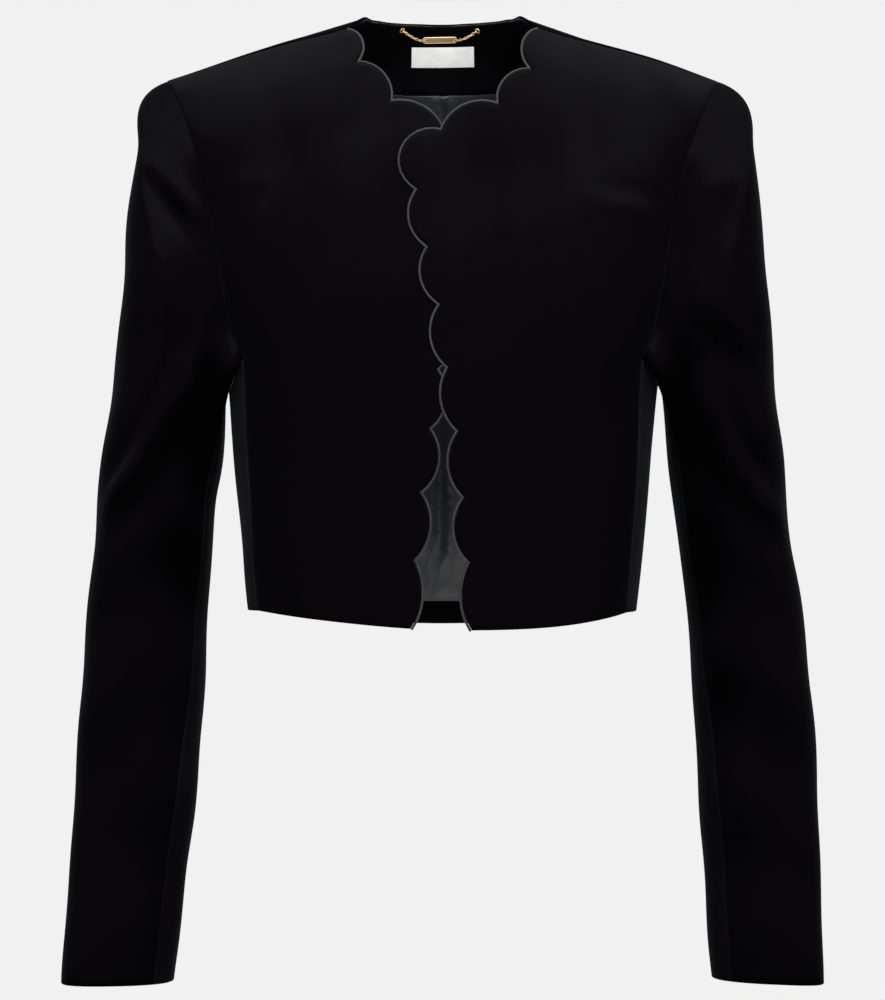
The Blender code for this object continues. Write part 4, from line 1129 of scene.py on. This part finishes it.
def stitch_tree(thread):
    """Slip stitches: short rounded threads, each turned a little at random."""
    tree, given = start_tree("slip stitches", ("Spacing", "Length", "Thickness"))
    nodes, links = tree.nodes, tree.links
    points, rotation = along_path(tree, given, given["Spacing"])
    stitch = nodes.new("GeometryNodeMeshUVSphere")
    stitch.inputs["Segments"].default_value = 8
    stitch.inputs["Rings"].default_value = 5
    stitch.inputs["Radius"].default_value = 0.5
    size = nodes.new("ShaderNodeCombineXYZ")
    links.new(given["Length"], size.inputs["X"])
    links.new(given["Thickness"], size.inputs["Y"])
    links.new(given["Thickness"], size.inputs["Z"])
    shaped = nodes.new("GeometryNodeTransform")
    links.new(stitch.outputs["Mesh"], shaped.inputs["Geometry"])
    links.new(size.outputs["Vector"], shaped.inputs["Scale"])
    slant = nodes.new("FunctionNodeRandomValue")
    slant.data_type = "FLOAT_VECTOR"
    slant.inputs["Min"].default_value = (-0.05, -0.05, 0.05)
    slant.inputs["Max"].default_value = (0.05, 0.05, 0.30)
    slant.inputs["Seed"].default_value = 7
    turned = nodes.new("FunctionNodeRotateRotation")
    turned.rotation_space = "LOCAL"
    links.new(rotation, turned.inputs["Rotation"])
    links.new(slant.outputs["Value"], turned.inputs["Rotate By"])
    placed = nodes.new("GeometryNodeInstanceOnPoints")
    links.new(points, placed.inputs["Points"])
    links.new(shaped.outputs["Geometry"], placed.inputs["Instance"])
    links.new(turned.outputs["Rotation"], placed.inputs["Rotation"])
    end_tree(tree, placed.outputs["Instances"], thread)
    return tree


def grown(piece, tree, sizes):
    """The piece with a tree's result as its own plain mesh."""
    modifier = piece.modifiers.new(tree.name, "NODES")
    modifier.node_group = tree
    for item in tree.interface.items_tree:
        if item.item_type == "SOCKET" and item.in_out == "INPUT" and item.name in sizes:
            modifier[item.identifier] = sizes[item.name]
    evaluated = piece.evaluated_get(bpy.context.evaluated_depsgraph_get())
    mesh = bpy.data.meshes.new_from_object(evaluated)
    piece.modifiers.clear()
    piece.data = mesh
    mesh.name = piece.name
    return piece


def on_back(places, off):
    """Points over (x, tape) places on the back, so far off the velvet's outer face."""
    places = np.array(places, float)
    points, normals = body_surface(places[:, 0], places[:, 1])
    return points + (body_drape(points, normals, 1) + off)[:, None] * normals


def thread_material(name, colour):
    material, nodes, links = plain_material(name)
    shader = nodes["Principled BSDF"]
    place = nodes.new("ShaderNodeTexCoord").outputs["Object"]
    twist = noise_on(nodes, links, place, scale=2600.0, detail=1.0)
    paler = tuple(1.25 * c for c in colour)
    links.new(ramp_on(nodes, links, twist, [(0.3, colour), (0.7, paler)]), shader.inputs["Base Color"])
    shader.inputs["Roughness"].default_value = 0.5
    return material


label_satin = label_material()
label_cut = piece_of(*back_cut, label_place, LABEL_EDGE)
label = lay_cloth(
    "neck_label",
    label_cut,
    [label_satin],
    lift=lambda flat: inside_lift(1) + LAYER_GAP - LABEL_STAND,
    depth=lambda flat, points: np.full(len(flat), LABEL_THICKNESS),
)
white_stitches = stitch_tree(thread_material("white thread", (0.55, 0.55, 0.53)))
grey_stitches = stitch_tree(thread_material("charcoal thread", (0.030, 0.031, 0.034)))
stitch_sizes = {
    "Spacing": STITCH_SPACING * MM,
    "Length": STITCH_LENGTH * MM,
    "Thickness": 2 * STITCH_THICKNESS * MM,
}
label_face = inside_lift(1) + LAYER_GAP - LABEL_THICKNESS - LABEL_STAND
label_foot = LABEL_Z - LABEL_SIZE[1] / 2 + LABEL_STITCHES_END
label_top = LABEL_Z + LABEL_SIZE[1] / 2 - LABEL_STITCHES_END
for end, name in ((1, "left"), (-1, "right")):
    x = end * (LABEL_SIZE[0] / 2 - LABEL_STITCHES_IN)
    heights = np.linspace(label_foot, label_top, LABEL_STITCH_POINTS)
    path = on_back([(x, tape_at(x, z, False)) for z in heights], label_face)
    stitched = grown(path_object(f"label_stitches_{name}", path), white_stitches, stitch_sizes)
    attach(stitched, "root")
dress(label, "label")

lining_sizes = {**stitch_sizes, "Spacing": LINING_STITCH_SPACING * MM}
for name, run in (
    ("lining_top_stitches", stepped(facing_foot(), LINING_STITCH_STEP)),
    ("lining_hem_stitches", level_line(HEM_FACING_TOP, LINING_STITCH_REACH, LINING_HEM_STEPS)),
):
    path = on_back(run, inside_lift(0) - LINING_THICKNESS + LINING_STITCH_SINK)
    stitched = grown(path_object(name, path), grey_stitches, lining_sizes)
    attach(stitched, "root")


# The chain hanger.
# A short gold-coloured chain inside the back neck, to hang the jacket by: a flat bar in the middle,
# a run of oval links on each side of it, and an end ring that lies on the facing.

BAR_SIZE = (25.0, 5.0, 1.2)
BAR_CORNER = 1.75
BAR_CORNER_STEPS = 6
BAR_EDGE = 0.22
BAR_HOLE_RADIUS = 0.9
BAR_HOLE_INSET = 2.2
BAR_HOLE_SIDES = 20
BAR_PLACE = Seam(-2.3, -8.8)
RING_PLACES = {"left": Seam(27.8, -3.6), "right": Seam(-31.8, -3.6)}
RING_RADIUS = 1.75
RING_WIRE = 0.45
CHAIN_RADIUS = 1.15
CHAIN_CLEARANCE = 0.3
CHAIN_SAG = 1.2
CHAIN_STANDS_OFF = 1.6
CHAIN_RISE_AT_RING = 0.6
CHAIN_INTO_RING = 0.4
CHAIN_INTO_BAR = 0.5
CHAIN_POINTS = 25
LINK_LENGTH = 3.3
LINK_WIDTH = 2.3
LINK_WIRE = 0.36
LINK_LAP = 2.6 * LINK_WIRE


def gold_material():
    """Gold-coloured plated metal, polished, with a faint waviness and fine rub marks."""
    material, nodes, links = plain_material("gold-coloured plate")
    shader = nodes["Principled BSDF"]
    place = nodes.new("ShaderNodeTexCoord").outputs["Object"]
    rubs = noise_on(nodes, links, place, scale=900.0, detail=3.0)
    pale, deep = (0.93, 0.68, 0.40), (0.88, 0.60, 0.32)
    links.new(ramp_on(nodes, links, rubs, [(0.3, deep), (0.7, pale)]), shader.inputs["Base Color"])
    gloss = nodes.new("ShaderNodeMapRange")
    gloss.inputs["To Min"].default_value = 0.34
    gloss.inputs["To Max"].default_value = 0.44
    links.new(rubs, gloss.inputs["Value"])
    links.new(gloss.outputs["Result"], shader.inputs["Roughness"])
    rubbed = bump_on(nodes, links, rubs, strength=0.04, distance=0.0001)
    links.new(rubbed, shader.inputs["Normal"])
    shader.inputs["Metallic"].default_value = 1.0
    return material


def hanger_frame(place, height, half_length, half_width):
    """A frame that stands on the facing, clear of it along the piece: x along it, z off the cloth."""
    corners = [(0, 0)] + [(i * half_length, j * half_width) for i in (-1, 1) for j in (-1, 1)]
    xs = np.array([place.x + dx for dx, _ in corners])
    tapes = [tape_at(place.x + dx, place.z + dz, False) for dx, dz in corners]
    points, normals = body_surface(xs, np.array(tapes))
    off = Vector(-normals[0])
    along = Vector((1, 0, 0))
    along = (along - along.dot(off) * off).normalized()
    frame_of_piece = Matrix((along, off.cross(along), off)).transposed().to_4x4()
    bow = max(0.0, float(((points - points[0]) @ -normals[0]).max()))
    rise = VELVET_THICKNESS + LAYER_GAP + LINING_THICKNESS + bow + height
    frame_of_piece.translation = Vector(points[0]) + rise * off
    return frame_of_piece


def metal_piece(name, build, node, place):
    """A small metal piece made by a bmesh call in its own frame, then laid in its place."""
    shape = bmesh.new()
    build(shape)
    bmesh.ops.recalc_face_normals(shape, faces=shape.faces)
    shape.transform(Matrix.Scale(MM, 4) @ place)
    mesh = bpy.data.meshes.new(name)
    shape.to_mesh(mesh)
    shape.free()
    mesh.materials.append(gold)
    mesh.shade_smooth()
    fit(linked(name, mesh), node)


RING_SIDES = 28
RING_WIRE_SIDES = 10


def ring_shape(shape):
    """A round ring of wire lying flat."""
    rows = []
    for i in range(RING_SIDES):
        turn = 2 * math.pi * i / RING_SIDES
        row = []
        for k in range(RING_WIRE_SIDES):
            roll = 2 * math.pi * k / RING_WIRE_SIDES
            reach = RING_RADIUS + RING_WIRE * math.cos(roll)
            corner = (reach * math.cos(turn), reach * math.sin(turn), RING_WIRE * math.sin(roll))
            row.append(shape.verts.new(corner))
        rows.append(row)
    for i in range(RING_SIDES):
        a, b = rows[i], rows[(i + 1) % RING_SIDES]
        for k in range(RING_WIRE_SIDES):
            j = (k + 1) % RING_WIRE_SIDES
            shape.faces.new((a[k], b[k], b[j], a[j]))


def bar_outline():
    length, width, _ = BAR_SIZE
    outline = []
    for sx, sy in ((1, 1), (-1, 1), (-1, -1), (1, -1)):
        start = math.atan2(sy, sx) - math.pi / 4
        for k in range(BAR_CORNER_STEPS + 1):
            turn = start + k * math.pi / (2 * BAR_CORNER_STEPS)
            x = sx * (length / 2 - BAR_CORNER) + BAR_CORNER * math.cos(turn)
            y = sy * (width / 2 - BAR_CORNER) + BAR_CORNER * math.sin(turn)
            outline.append((x, y))
    return outline


def bar_hole(end):
    turns = [2 * math.pi * k / BAR_HOLE_SIDES for k in range(BAR_HOLE_SIDES)]
    middle = end * (BAR_SIZE[0] / 2 - BAR_HOLE_INSET)
    return [(middle + BAR_HOLE_RADIUS * math.cos(t), BAR_HOLE_RADIUS * math.sin(t)) for t in turns]


def bar_shape(shape):
    """A flat bar with round corners, softened edges and a hole for a link at each end."""
    length, width, thickness = BAR_SIZE
    outline = bar_outline()
    loops = [outline, bar_hole(1), bar_hole(-1)]
    points = [Vector(p) for loop in loops for p in loop]
    starts = [0, len(outline), len(outline) + BAR_HOLE_SIDES, len(points)]
    rings = [list(range(starts[i], starts[i + 1])) for i in range(len(loops))]
    edges = [(ring[k], ring[(k + 1) % len(ring)]) for ring in rings for k in range(len(ring))]
    flat, _, faces, *_ = delaunay_2d_cdt(points, edges, [], 0, 1e-5)
    hole_middles = [Vector((end * (length / 2 - BAR_HOLE_INSET), 0)) for end in (1, -1)]
    kept = []
    for face in faces:
        middle = sum((flat[i] for i in face), Vector((0, 0))) / len(face)
        if all((middle - hole).length >= BAR_HOLE_RADIUS * 0.98 for hole in hole_middles):
            kept.append(face)
    top, slope = thickness / 2, BAR_EDGE * 0.3
    levels = [(top, BAR_EDGE), (top - slope, slope), (top - BAR_EDGE, 0.0)]
    levels += [(-z, inset) for z, inset in levels[::-1]]
    rows = []
    for z, inset in levels:
        row = []
        for i, point in enumerate(flat):
            if i < len(outline):
                scale = Vector((1 - 2 * inset / length, 1 - 2 * inset / width))
                place = Vector((point.x * scale.x, point.y * scale.y))
            else:
                centre = hole_middles[0 if point.x > 0 else 1]
                place = centre + (point - centre) * (1 + inset / BAR_HOLE_RADIUS)
            row.append(shape.verts.new((place.x, place.y, z)))
        rows.append(row)
    for face in kept:
        shape.faces.new([rows[0][i] for i in face])
        shape.faces.new([rows[-1][i] for i in face[::-1]])
    for upper, lower in zip(rows, rows[1:]):
        for ring in rings:
            for k, i in enumerate(ring):
                j = ring[(k + 1) % len(ring)]
                shape.faces.new((upper[j], upper[i], lower[i], lower[j]))


def link_tree(gold):
    """A cable chain: oval links of round wire, every second one turned a quarter."""
    tree, given = start_tree("hanger links", ("Length", "Width", "Wire", "Pitch"))
    nodes, links = tree.nodes, tree.links
    points, rotation = along_path(tree, given, given["Pitch"])
    oval = nodes.new("GeometryNodeCurvePrimitiveCircle")
    oval.inputs["Resolution"].default_value = 16
    oval.inputs["Radius"].default_value = 0.5
    size = nodes.new("ShaderNodeCombineXYZ")
    links.new(given["Length"], size.inputs["X"])
    links.new(given["Width"], size.inputs["Y"])
    size.inputs["Z"].default_value = 1.0
    shaped = nodes.new("GeometryNodeTransform")
    links.new(oval.outputs["Curve"], shaped.inputs["Geometry"])
    links.new(size.outputs["Vector"], shaped.inputs["Scale"])
    wire = nodes.new("GeometryNodeCurvePrimitiveCircle")
    wire.inputs["Resolution"].default_value = 8
    links.new(given["Wire"], wire.inputs["Radius"])
    link = nodes.new("GeometryNodeCurveToMesh")
    links.new(shaped.outputs["Geometry"], link.inputs["Curve"])
    links.new(wire.outputs["Curve"], link.inputs["Profile Curve"])
    index = nodes.new("GeometryNodeInputIndex")
    roll = nodes.new("ShaderNodeMath")
    roll.operation = "MULTIPLY"
    roll.inputs[1].default_value = math.pi / 2
    links.new(index.outputs["Index"], roll.inputs[0])
    tilt = nodes.new("ShaderNodeMath")
    tilt.operation = "ADD"
    tilt.inputs[1].default_value = math.pi / 4
    links.new(roll.outputs["Value"], tilt.inputs[0])
    about = nodes.new("ShaderNodeCombineXYZ")
    links.new(tilt.outputs["Value"], about.inputs["X"])
    turned = nodes.new("FunctionNodeRotateRotation")
    turned.rotation_space = "LOCAL"
    links.new(rotation, turned.inputs["Rotation"])
    links.new(about.outputs["Vector"], turned.inputs["Rotate By"])
    placed = nodes.new("GeometryNodeInstanceOnPoints")
    links.new(points, placed.inputs["Points"])
    links.new(link.outputs["Mesh"], placed.inputs["Instance"])
    links.new(turned.outputs["Rotation"], placed.inputs["Rotation"])
    end_tree(tree, placed.outputs["Instances"], gold)
    return tree


gold = gold_material()
bar_stand = LAYER_GAP + CHAIN_CLEARANCE + BAR_SIZE[2] / 2
bar_place = hanger_frame(BAR_PLACE, bar_stand, BAR_SIZE[0] / 2, BAR_SIZE[1] / 2)
metal_piece("hanger_bar_plate", bar_shape, "hanger_bar", bar_place)
chain_links = link_tree(gold)
ring_stand = LAYER_GAP + CHAIN_CLEARANCE + RING_WIRE
for cut, end in (("left", 1), ("right", -1)):
    place = hanger_frame(RING_PLACES[cut], ring_stand, RING_RADIUS, RING_RADIUS)
    metal_piece(f"hanger_ring_{cut}_wire", ring_shape, f"hanger_ring_{cut}", place)
    ring = place.translation
    off_cloth = place.to_3x3() @ Vector((0, 0, CHAIN_RADIUS))
    stop = bar_place @ Vector((end * (BAR_SIZE[0] / 2 - BAR_HOLE_INSET + CHAIN_INTO_BAR), 0, 0))
    way = (stop - ring).normalized()
    start = ring + CHAIN_RISE_AT_RING * off_cloth + way * (RING_RADIUS - CHAIN_INTO_RING)
    shares = np.linspace(0, 1, CHAIN_POINTS)
    path = np.array(start) + np.outer(shares, np.array(stop - start))
    sag = CHAIN_SAG * 4 * shares * (1 - shares)
    path[:, 2] -= sag
    path += np.outer(CHAIN_STANDS_OFF * sag, np.array(off_cloth.normalized()))
    length = float(np.linalg.norm(np.diff(path, axis=0), axis=1).sum())
    count = round(length / (LINK_LENGTH - LINK_LAP))
    sizes = {
        "Length": LINK_LENGTH * MM - 2 * LINK_WIRE * MM,
        "Width": LINK_WIDTH * MM - 2 * LINK_WIRE * MM,
        "Wire": LINK_WIRE * MM,
        "Pitch": length / count * MM,
    }
    chain = grown(path_object(f"hanger_links_{cut}", path), chain_links, sizes)
    fit(chain, f"hanger_chain_{cut}")


# Two sleeves, each a top sleeve and an under sleeve.
# Velvet cut to the bend of an arm, set into the armhole under a squared shoulder, with a plain cuff.
# The folds are those that worn sleeves hold at the elbow and below the shoulder.

Ring = namedtuple("Ring", "level outer inner centre_depth half_depth")
LEFT_SLEEVE = (
    Ring(-710, 271, 192.5, -46, 37.5),
    Ring(-693, 270.8, 191.5, -45, 38),
    Ring(-612, 268.9, 186, -37, 42.5),
    Ring(-535, 266.8, 181.6, -28, 47.5),
    Ring(-478, 262.9, 178.5, -22, 51.5),
    Ring(-420, 256.2, 174.5, -16, 56),
    Ring(-348, 246, 165, -11, 60.5),
    Ring(-309, 243.6, 160.3, -8.5, 63),
    Ring(-264, 238.2, 153.6, -7, 65),
    Ring(-198, 233.9, 147, -6, 63.5),
    Ring(-143, 228.4, 142.5, -6, 59),
    Ring(-96, 223.6, 140, -6, 52),
    Ring(-64, 219, 138, -6, 46),
)
RIGHT_SLEEVE = (
    Ring(-710, 271, 191.5, -46, 37.5),
    Ring(-693, 270.8, 190.8, -45, 38),
    Ring(-612, 265.4, 181.8, -37, 42.5),
    Ring(-535, 261.1, 173.6, -28, 47.5),
    Ring(-477, 257.7, 170.0, -22, 51.5),
    Ring(-420, 253.2, 167.6, -16, 56),
    Ring(-377, 249.4, 164.7, -13, 59),
    Ring(-348, 247, 162.4, -11, 60.5),
    Ring(-305, 242.5, 154, -8.5, 63),
    Ring(-266, 236.5, 151.5, -7, 65),
    Ring(-207, 230, 145.5, -6, 64),
    Ring(-155, 227, 142, -6, 60),
    Ring(-104, 219.9, 139, -6, 54),
    Ring(-64, 214.7, 137, -6, 46),
)
SLEEVE_SQUARENESS = 2.3
SHOULDER_FALL = -20.0
UNDERARM_FALL = {"left": 80.0, "right": 90.0}
FALL_POWER = 1.5
HEAD_PULL = 0.8
HEAD_ROUNDING = 0.9
RING_TOP_OUTER = -100.0
RING_TOP_INNER = -335.0
CUFF_Z = {"left": (-692.0, -687.8), "right": (-691.7, -690.0)}
FRONT_SEAM_ANGLE = 150.0
BACK_SEAM_ANGLE = 228.0
Turn = namedtuple("Turn", "level angle")
FRONT_SEAM_TURNS = (
    Turn(-700, -20),
    Turn(-550, -17),
    Turn(-490, -10),
    Turn(-384, 0),
    Turn(-300, 0),
)
SLEEVE_CLEARANCE = 0.35
CLEARANCE_SPARE = 0.1
TURNED_IN = 4.0
TURNED_UNDER = 2.4
HEAD_ROWS = 22
ARM_ROWS = 84

# Folds seen from the front, then from behind, with each sleeve taken as the wearer's left one

LEFT_SLEEVE_FOLDS = (
    Crease(179, -198, 215, -242, 8.1, 4.2),
    Crease(186, -272, 197, -308, 8.9, 4.8),
    Crease(197, -308, 215, -338, 8.9, 5.1),
    Crease(215, -338, 245, -370, 8.9, 3.8),
    Crease(188, -132, 209, -116, 7, 1.6),
    Crease(195, -270, 208, -304, 5.9, -2.4),
    Crease(208, -304, 229, -334, 5.9, -2.7),
    Crease(183, -221, 208, -251, 7, -1.9),
    Crease(193, -428, 203, -478, 15, 1.6),
    Crease(229, -428, 235, -508, 16, 1.9),
    Crease(211, -528, 219, -608, 14, 1.4),
)
RIGHT_SLEEVE_FOLDS = (
    Crease(169, -239, 205, -307, 8.9, 6.4),
    Crease(205, -307, 237, -356, 8.9, 5.4),
    Crease(172, -150, 207, -106, 6.7, 3.2),
    Crease(179, -235, 214, -299, 5.9, -3.2),
    Crease(214, -299, 242, -339, 5.9, -2.6),
    Crease(177, -162, 210, -121, 7, -1.6),
    Crease(182, -339, 202, -381, 13, 1.8),
    Crease(224, -429, 232, -509, 16, 1.9),
    Crease(196, -479, 206, -549, 14, 1.6),
)
BACK_SLEEVE_FOLDS = (
    Crease(176, -215, 214, -262, 13, 3.5),
    Crease(184, -300, 226, -344, 13, 3.2),
    Crease(190, -372, 240, -392, 13, 3.8),
    Crease(194, -402, 244, -418, 11, 2.6),
    Crease(200, -150, 190, -205, 12, 1.9),
    Crease(212, -470, 220, -560, 16, 1.6),
)
SLEEVE_WAVES = (
    Wave(0.3, 0.5, 0.8, 74, 0.5),
    Wave(-0.6, 0.7, 0.4, 51, 0.3),
)


def sleeve_ring(table, angle, level):
    """Points round a sleeve: 0 degrees is its outer side, 90 its front, 180 the side by the body."""
    keys = column(table, "level")
    outer = smooth_read(keys, column(table, "outer"), level)
    inner = smooth_read(keys, column(table, "inner"), level)
    centre = smooth_read(keys, column(table, "centre_depth"), level)
    half_depth = smooth_read(keys, column(table, "half_depth"), level)
    cos, sin = np.cos(np.radians(angle)), np.sin(np.radians(angle))
    power = 2 / SLEEVE_SQUARENESS
    x = (outer + inner) / 2 + (outer - inner) / 2 * np.sign(cos) * np.abs(cos) ** power
    y = centre - half_depth * np.sign(sin) * np.abs(sin) ** power
    return np.stack([x, y, level + 0 * x], axis=-1)


def armhole_starts(cut):
    """Where each lengthwise line of a sleeve starts, its direction there and its angle."""
    front, under, back = armhole()
    front_points, front_normals = body_surface(*front.T)
    under_points, under_normals = side_surface(*under.T)
    back_points, back_normals = body_surface(*back.T)
    points = np.vstack([front_points, under_points[1:], back_points[-2:0:-1]])
    normals = np.vstack([front_normals, under_normals[1:], back_normals[-2:0:-1]])
    around = np.roll(points, -1, axis=0) - np.roll(points, 1, axis=0)
    into_hole = unit(np.cross(normals, around))
    steps = np.linalg.norm(np.roll(points, -1, axis=0) - points, axis=1)
    reach = np.concatenate([[0], np.cumsum(steps)])
    lowest = FRONT_HOLE_STEPS + SIDE_HOLE_STEPS // 2
    share = np.where(
        reach[:-1] <= reach[lowest],
        reach[:-1] / reach[lowest],
        1 + (reach[:-1] - reach[lowest]) / (reach[-1] - reach[lowest]),
    )
    angles = 180 * share
    radial = points - points.mean(axis=0)
    radial[:, 0] = 0
    radial = unit(radial)
    fall = UNDERARM_FALL[cut] - SHOULDER_FALL
    downhill = ((1 - np.cos(np.radians(angles))) / 2) ** FALL_POWER
    tilt = np.radians(SHOULDER_FALL + fall * downhill)[:, None]
    ways = np.cos(tilt) * np.array([1.0, 0, 0]) + np.sin(tilt) * radial
    inward = (ways * into_hole).sum(-1)
    outward = (ways * normals).sum(-1)
    passing = SLEEVE_CLEARANCE * outward / np.maximum(-inward, 1e-3)
    short_by = np.maximum(0.0, SLEEVE_CLEARANCE + CLEARANCE_SPARE - passing)
    raise_by = np.where(inward < 0, short_by, 0.0)
    starts = points + SLEEVE_CLEARANCE * into_hole + raise_by[:, None] * normals
    turned_in = starts - TURNED_IN * into_hole - TURNED_UNDER * normals
    return turned_in, starts, ways, angles


def seam_turns(angles, front_line, back_line):
    """How much of the front seam's turn each lengthwise line takes: 1 there, 0 at the back seam."""
    front_angle, back_angle = angles[front_line], angles[back_line]
    top = np.where(angles > back_angle, angles - 360, angles)
    share_top = (top - (back_angle - 360)) / (front_angle - back_angle + 360)
    share_under = (back_angle - angles) / (back_angle - front_angle)
    on_under = (angles > front_angle) & (angles <= back_angle)
    return np.where(on_under, share_under, share_top)


def sleeve_grid(table, cut, folds):
    """Outer points of a sleeve, a row for each level and a column for each lengthwise line."""
    turned_in, starts, ways, angles = armhole_starts(cut)
    blend = (1 - np.cos(np.radians(angles))) / 2
    ring_top = RING_TOP_OUTER + (RING_TOP_INNER - RING_TOP_OUTER) * blend
    ends = sleeve_ring(table, angles, ring_top)
    down = unit(sleeve_ring(table, angles, ring_top - 1.0) - ends)
    span = np.linalg.norm(ends - starts, axis=1)[:, None]
    over = np.maximum(0, np.cos(np.radians(angles)))[:, None] ** 2
    leave = span * (HEAD_PULL + HEAD_ROUNDING * over)
    rows = [turned_in]
    for u in np.linspace(0, 1, HEAD_ROWS + 1):
        rows.append(
            starts * (1 + 2 * u) * (1 - u) ** 2
            + ways * leave * u * (1 - u) ** 2
            + ends * u**2 * (3 - 2 * u)
            + down * span * HEAD_PULL * u**2 * (u - 1)
        )
    front_line = int(np.argmin(np.abs(angles - FRONT_SEAM_ANGLE)))
    back_line = int(np.argmin(np.abs(angles - BACK_SEAM_ANGLE)))
    share = seam_turns(angles, front_line, back_line)
    outer_z, inner_z = CUFF_Z[cut]
    cuff = outer_z + (inner_z - outer_z) * blend
    turn_levels = column(FRONT_SEAM_TURNS, "level")
    turn_angles = column(FRONT_SEAM_TURNS, "angle")
    for w in np.linspace(0, 1, ARM_ROWS + 1)[1:]:
        level = ring_top + (cuff - ring_top) * w
        turn = smooth_read(turn_levels, turn_angles, level)
        rows.append(sleeve_ring(table, angles + turn * share, level))
    points = np.array(rows)
    around = np.roll(points, -1, axis=1) - np.roll(points, 1, axis=1)
    normals = unit(np.cross(around, np.gradient(points, axis=0)))
    raised = crease_height(points, smoothstep(-normals[..., 1], *FACING_FADES), folds)
    raised += crease_height(points, smoothstep(normals[..., 1], *FACING_FADES), BACK_SLEEVE_FOLDS)
    held = smoothstep(np.arange(len(points)), 0, HEAD_ROWS)[:, None]
    raised += held * wave_height(points, SLEEVE_WAVES)
    return points + raised[..., None] * normals, normals, front_line, back_line


def sleeve_piece(name, outer, normals, lines, side, painted_shade):
    """One panel of a sleeve from some lengthwise lines, drawn in from its border all round."""
    strip, facing = outer[:, lines], normals[:, lines]
    drawn = strip.copy()
    drawn[:, 0] += VELVET_EDGE * unit(strip[:, 1] - strip[:, 0])
    drawn[:, -1] += VELVET_EDGE * unit(strip[:, -2] - strip[:, -1])
    drawn[0] += VELVET_EDGE * unit(strip[1] - strip[0])
    drawn[-1] += VELVET_EDGE * unit(strip[-2] - strip[-1])
    width = len(lines)
    faces = [
        (r * width + c, r * width + c + 1, (r + 1) * width + c + 1, (r + 1) * width + c)
        for r in range(len(strip) - 1)
        for c in range(width - 1)
    ]
    mirror = np.array([side, 1, 1])
    flat = [part.reshape(-1, 3) * mirror for part in (drawn, facing, strip)]
    thickness = np.full(len(flat[0]), VELVET_THICKNESS)
    return rolled_wall(name, *flat, faces, thickness, [velvet, lining_satin], painted_shade)


for cut, side, table, folds in (
    ("left", 1, LEFT_SLEEVE, LEFT_SLEEVE_FOLDS),
    ("right", -1, RIGHT_SLEEVE, RIGHT_SLEEVE_FOLDS),
):
    outer, normals, front_line, back_line = sleeve_grid(table, cut, folds)
    count = outer.shape[1]
    top_lines = [i % count for i in range(back_line, count + front_line + 1)]
    under_lines = list(range(front_line, back_line + 1))
    # The top sleeves carry strong painted light and shade on their folds, and the under sleeves are
    # painted paler
    top_sleeve = sleeve_piece(
        f"sleeve_{cut}_top_panel", outer, normals, top_lines, side, PAINTED_LIGHT_ON_SLEEVES
    )
    dress(top_sleeve, f"sleeve_{cut}_top")
    under_sleeve = sleeve_piece(
        f"sleeve_{cut}_under_panel", outer, normals, under_lines, side, PAINTED_LIGHT_UNDER_SLEEVES
    )
    dress(under_sleeve, f"sleeve_{cut}_under")


# The studio.
# A plain pale world with a pale floor far below, and a camera level with the jacket's middle.
# Two large soft lights stand above and before it, and a weak cool one at each side.

CAMERA_PLACE = (0.0, -3.5, -0.3485)
LENS_MM = 175.0
SENSOR_MM = 36.0
GROUND_GREY = 0.879
FLOOR_GREY = 0.86
FLOOR_LEVEL = -1.6
FLOOR_REACH = 2.4
FLOOR_SIDES = 48
LIT_POINT = (0.0, 0.0, -0.3)
WHITE, COOL = (1.0, 1.0, 1.0), (0.86, 0.91, 1.0)
SoftLight = namedtuple("SoftLight", "name place size power colour")
SOFT_LIGHTS = (
    SoftLight("top_front", (0.0, -0.9, 2.2), (2.2, 1.0), 55.0, WHITE),
    SoftLight("front", (0.3, -3.8, 0.7), (1.8, 1.2), 118.0, WHITE),
    SoftLight("left_side", (2.6, -0.4, 0.5), (0.8, 2.0), 9.0, COOL),
    SoftLight("right_side", (-2.6, -0.4, 0.5), (0.8, 2.0), 9.0, COOL),
)


def pale_floor():
    """A plain pale floor far below the jacket."""
    mesh = bpy.data.meshes.new("studio_floor")
    turns = [2 * math.pi * k / FLOOR_SIDES for k in range(FLOOR_SIDES)]
    ring = [(FLOOR_REACH * math.cos(t), FLOOR_REACH * math.sin(t), FLOOR_LEVEL) for t in turns]
    mesh.from_pydata(ring, [], [tuple(range(FLOOR_SIDES))])
    material, nodes, _ = plain_material("pale floor")
    shader = nodes["Principled BSDF"]
    shader.inputs["Base Color"].default_value = (FLOOR_GREY, FLOOR_GREY, FLOOR_GREY, 1)
    shader.inputs["Roughness"].default_value = 0.9
    mesh.materials.append(material)
    linked("studio_floor", mesh)


def add_light(row):
    light = bpy.data.lights.new(row.name, "AREA")
    light.shape = "RECTANGLE"
    light.size, light.size_y = row.size
    light.energy = row.power
    light.color = row.colour
    holder = linked(row.name, light)
    holder.location = row.place
    aim = Vector(LIT_POINT) - Vector(row.place)
    holder.rotation_euler = aim.to_track_quat("-Z", "Y").to_euler()


scene = bpy.context.scene
pale_floor()
world = bpy.data.worlds.new("plain ground")
world.use_nodes = True
ground = world.node_tree.nodes["Background"]
ground.inputs["Color"].default_value = (GROUND_GREY, GROUND_GREY, GROUND_GREY, 1)
scene.world = world
for row in SOFT_LIGHTS:
    add_light(row)
camera = bpy.data.cameras.new("front_camera")
camera.lens = LENS_MM
camera.sensor_width = SENSOR_MM
camera_holder = linked("front_camera", camera)
camera_holder.location = CAMERA_PLACE
camera_holder.rotation_euler = (math.pi / 2, 0, 0)
scene.camera = camera_holder
scene.view_settings.view_transform = "Standard"
scene.view_settings.look = "None"
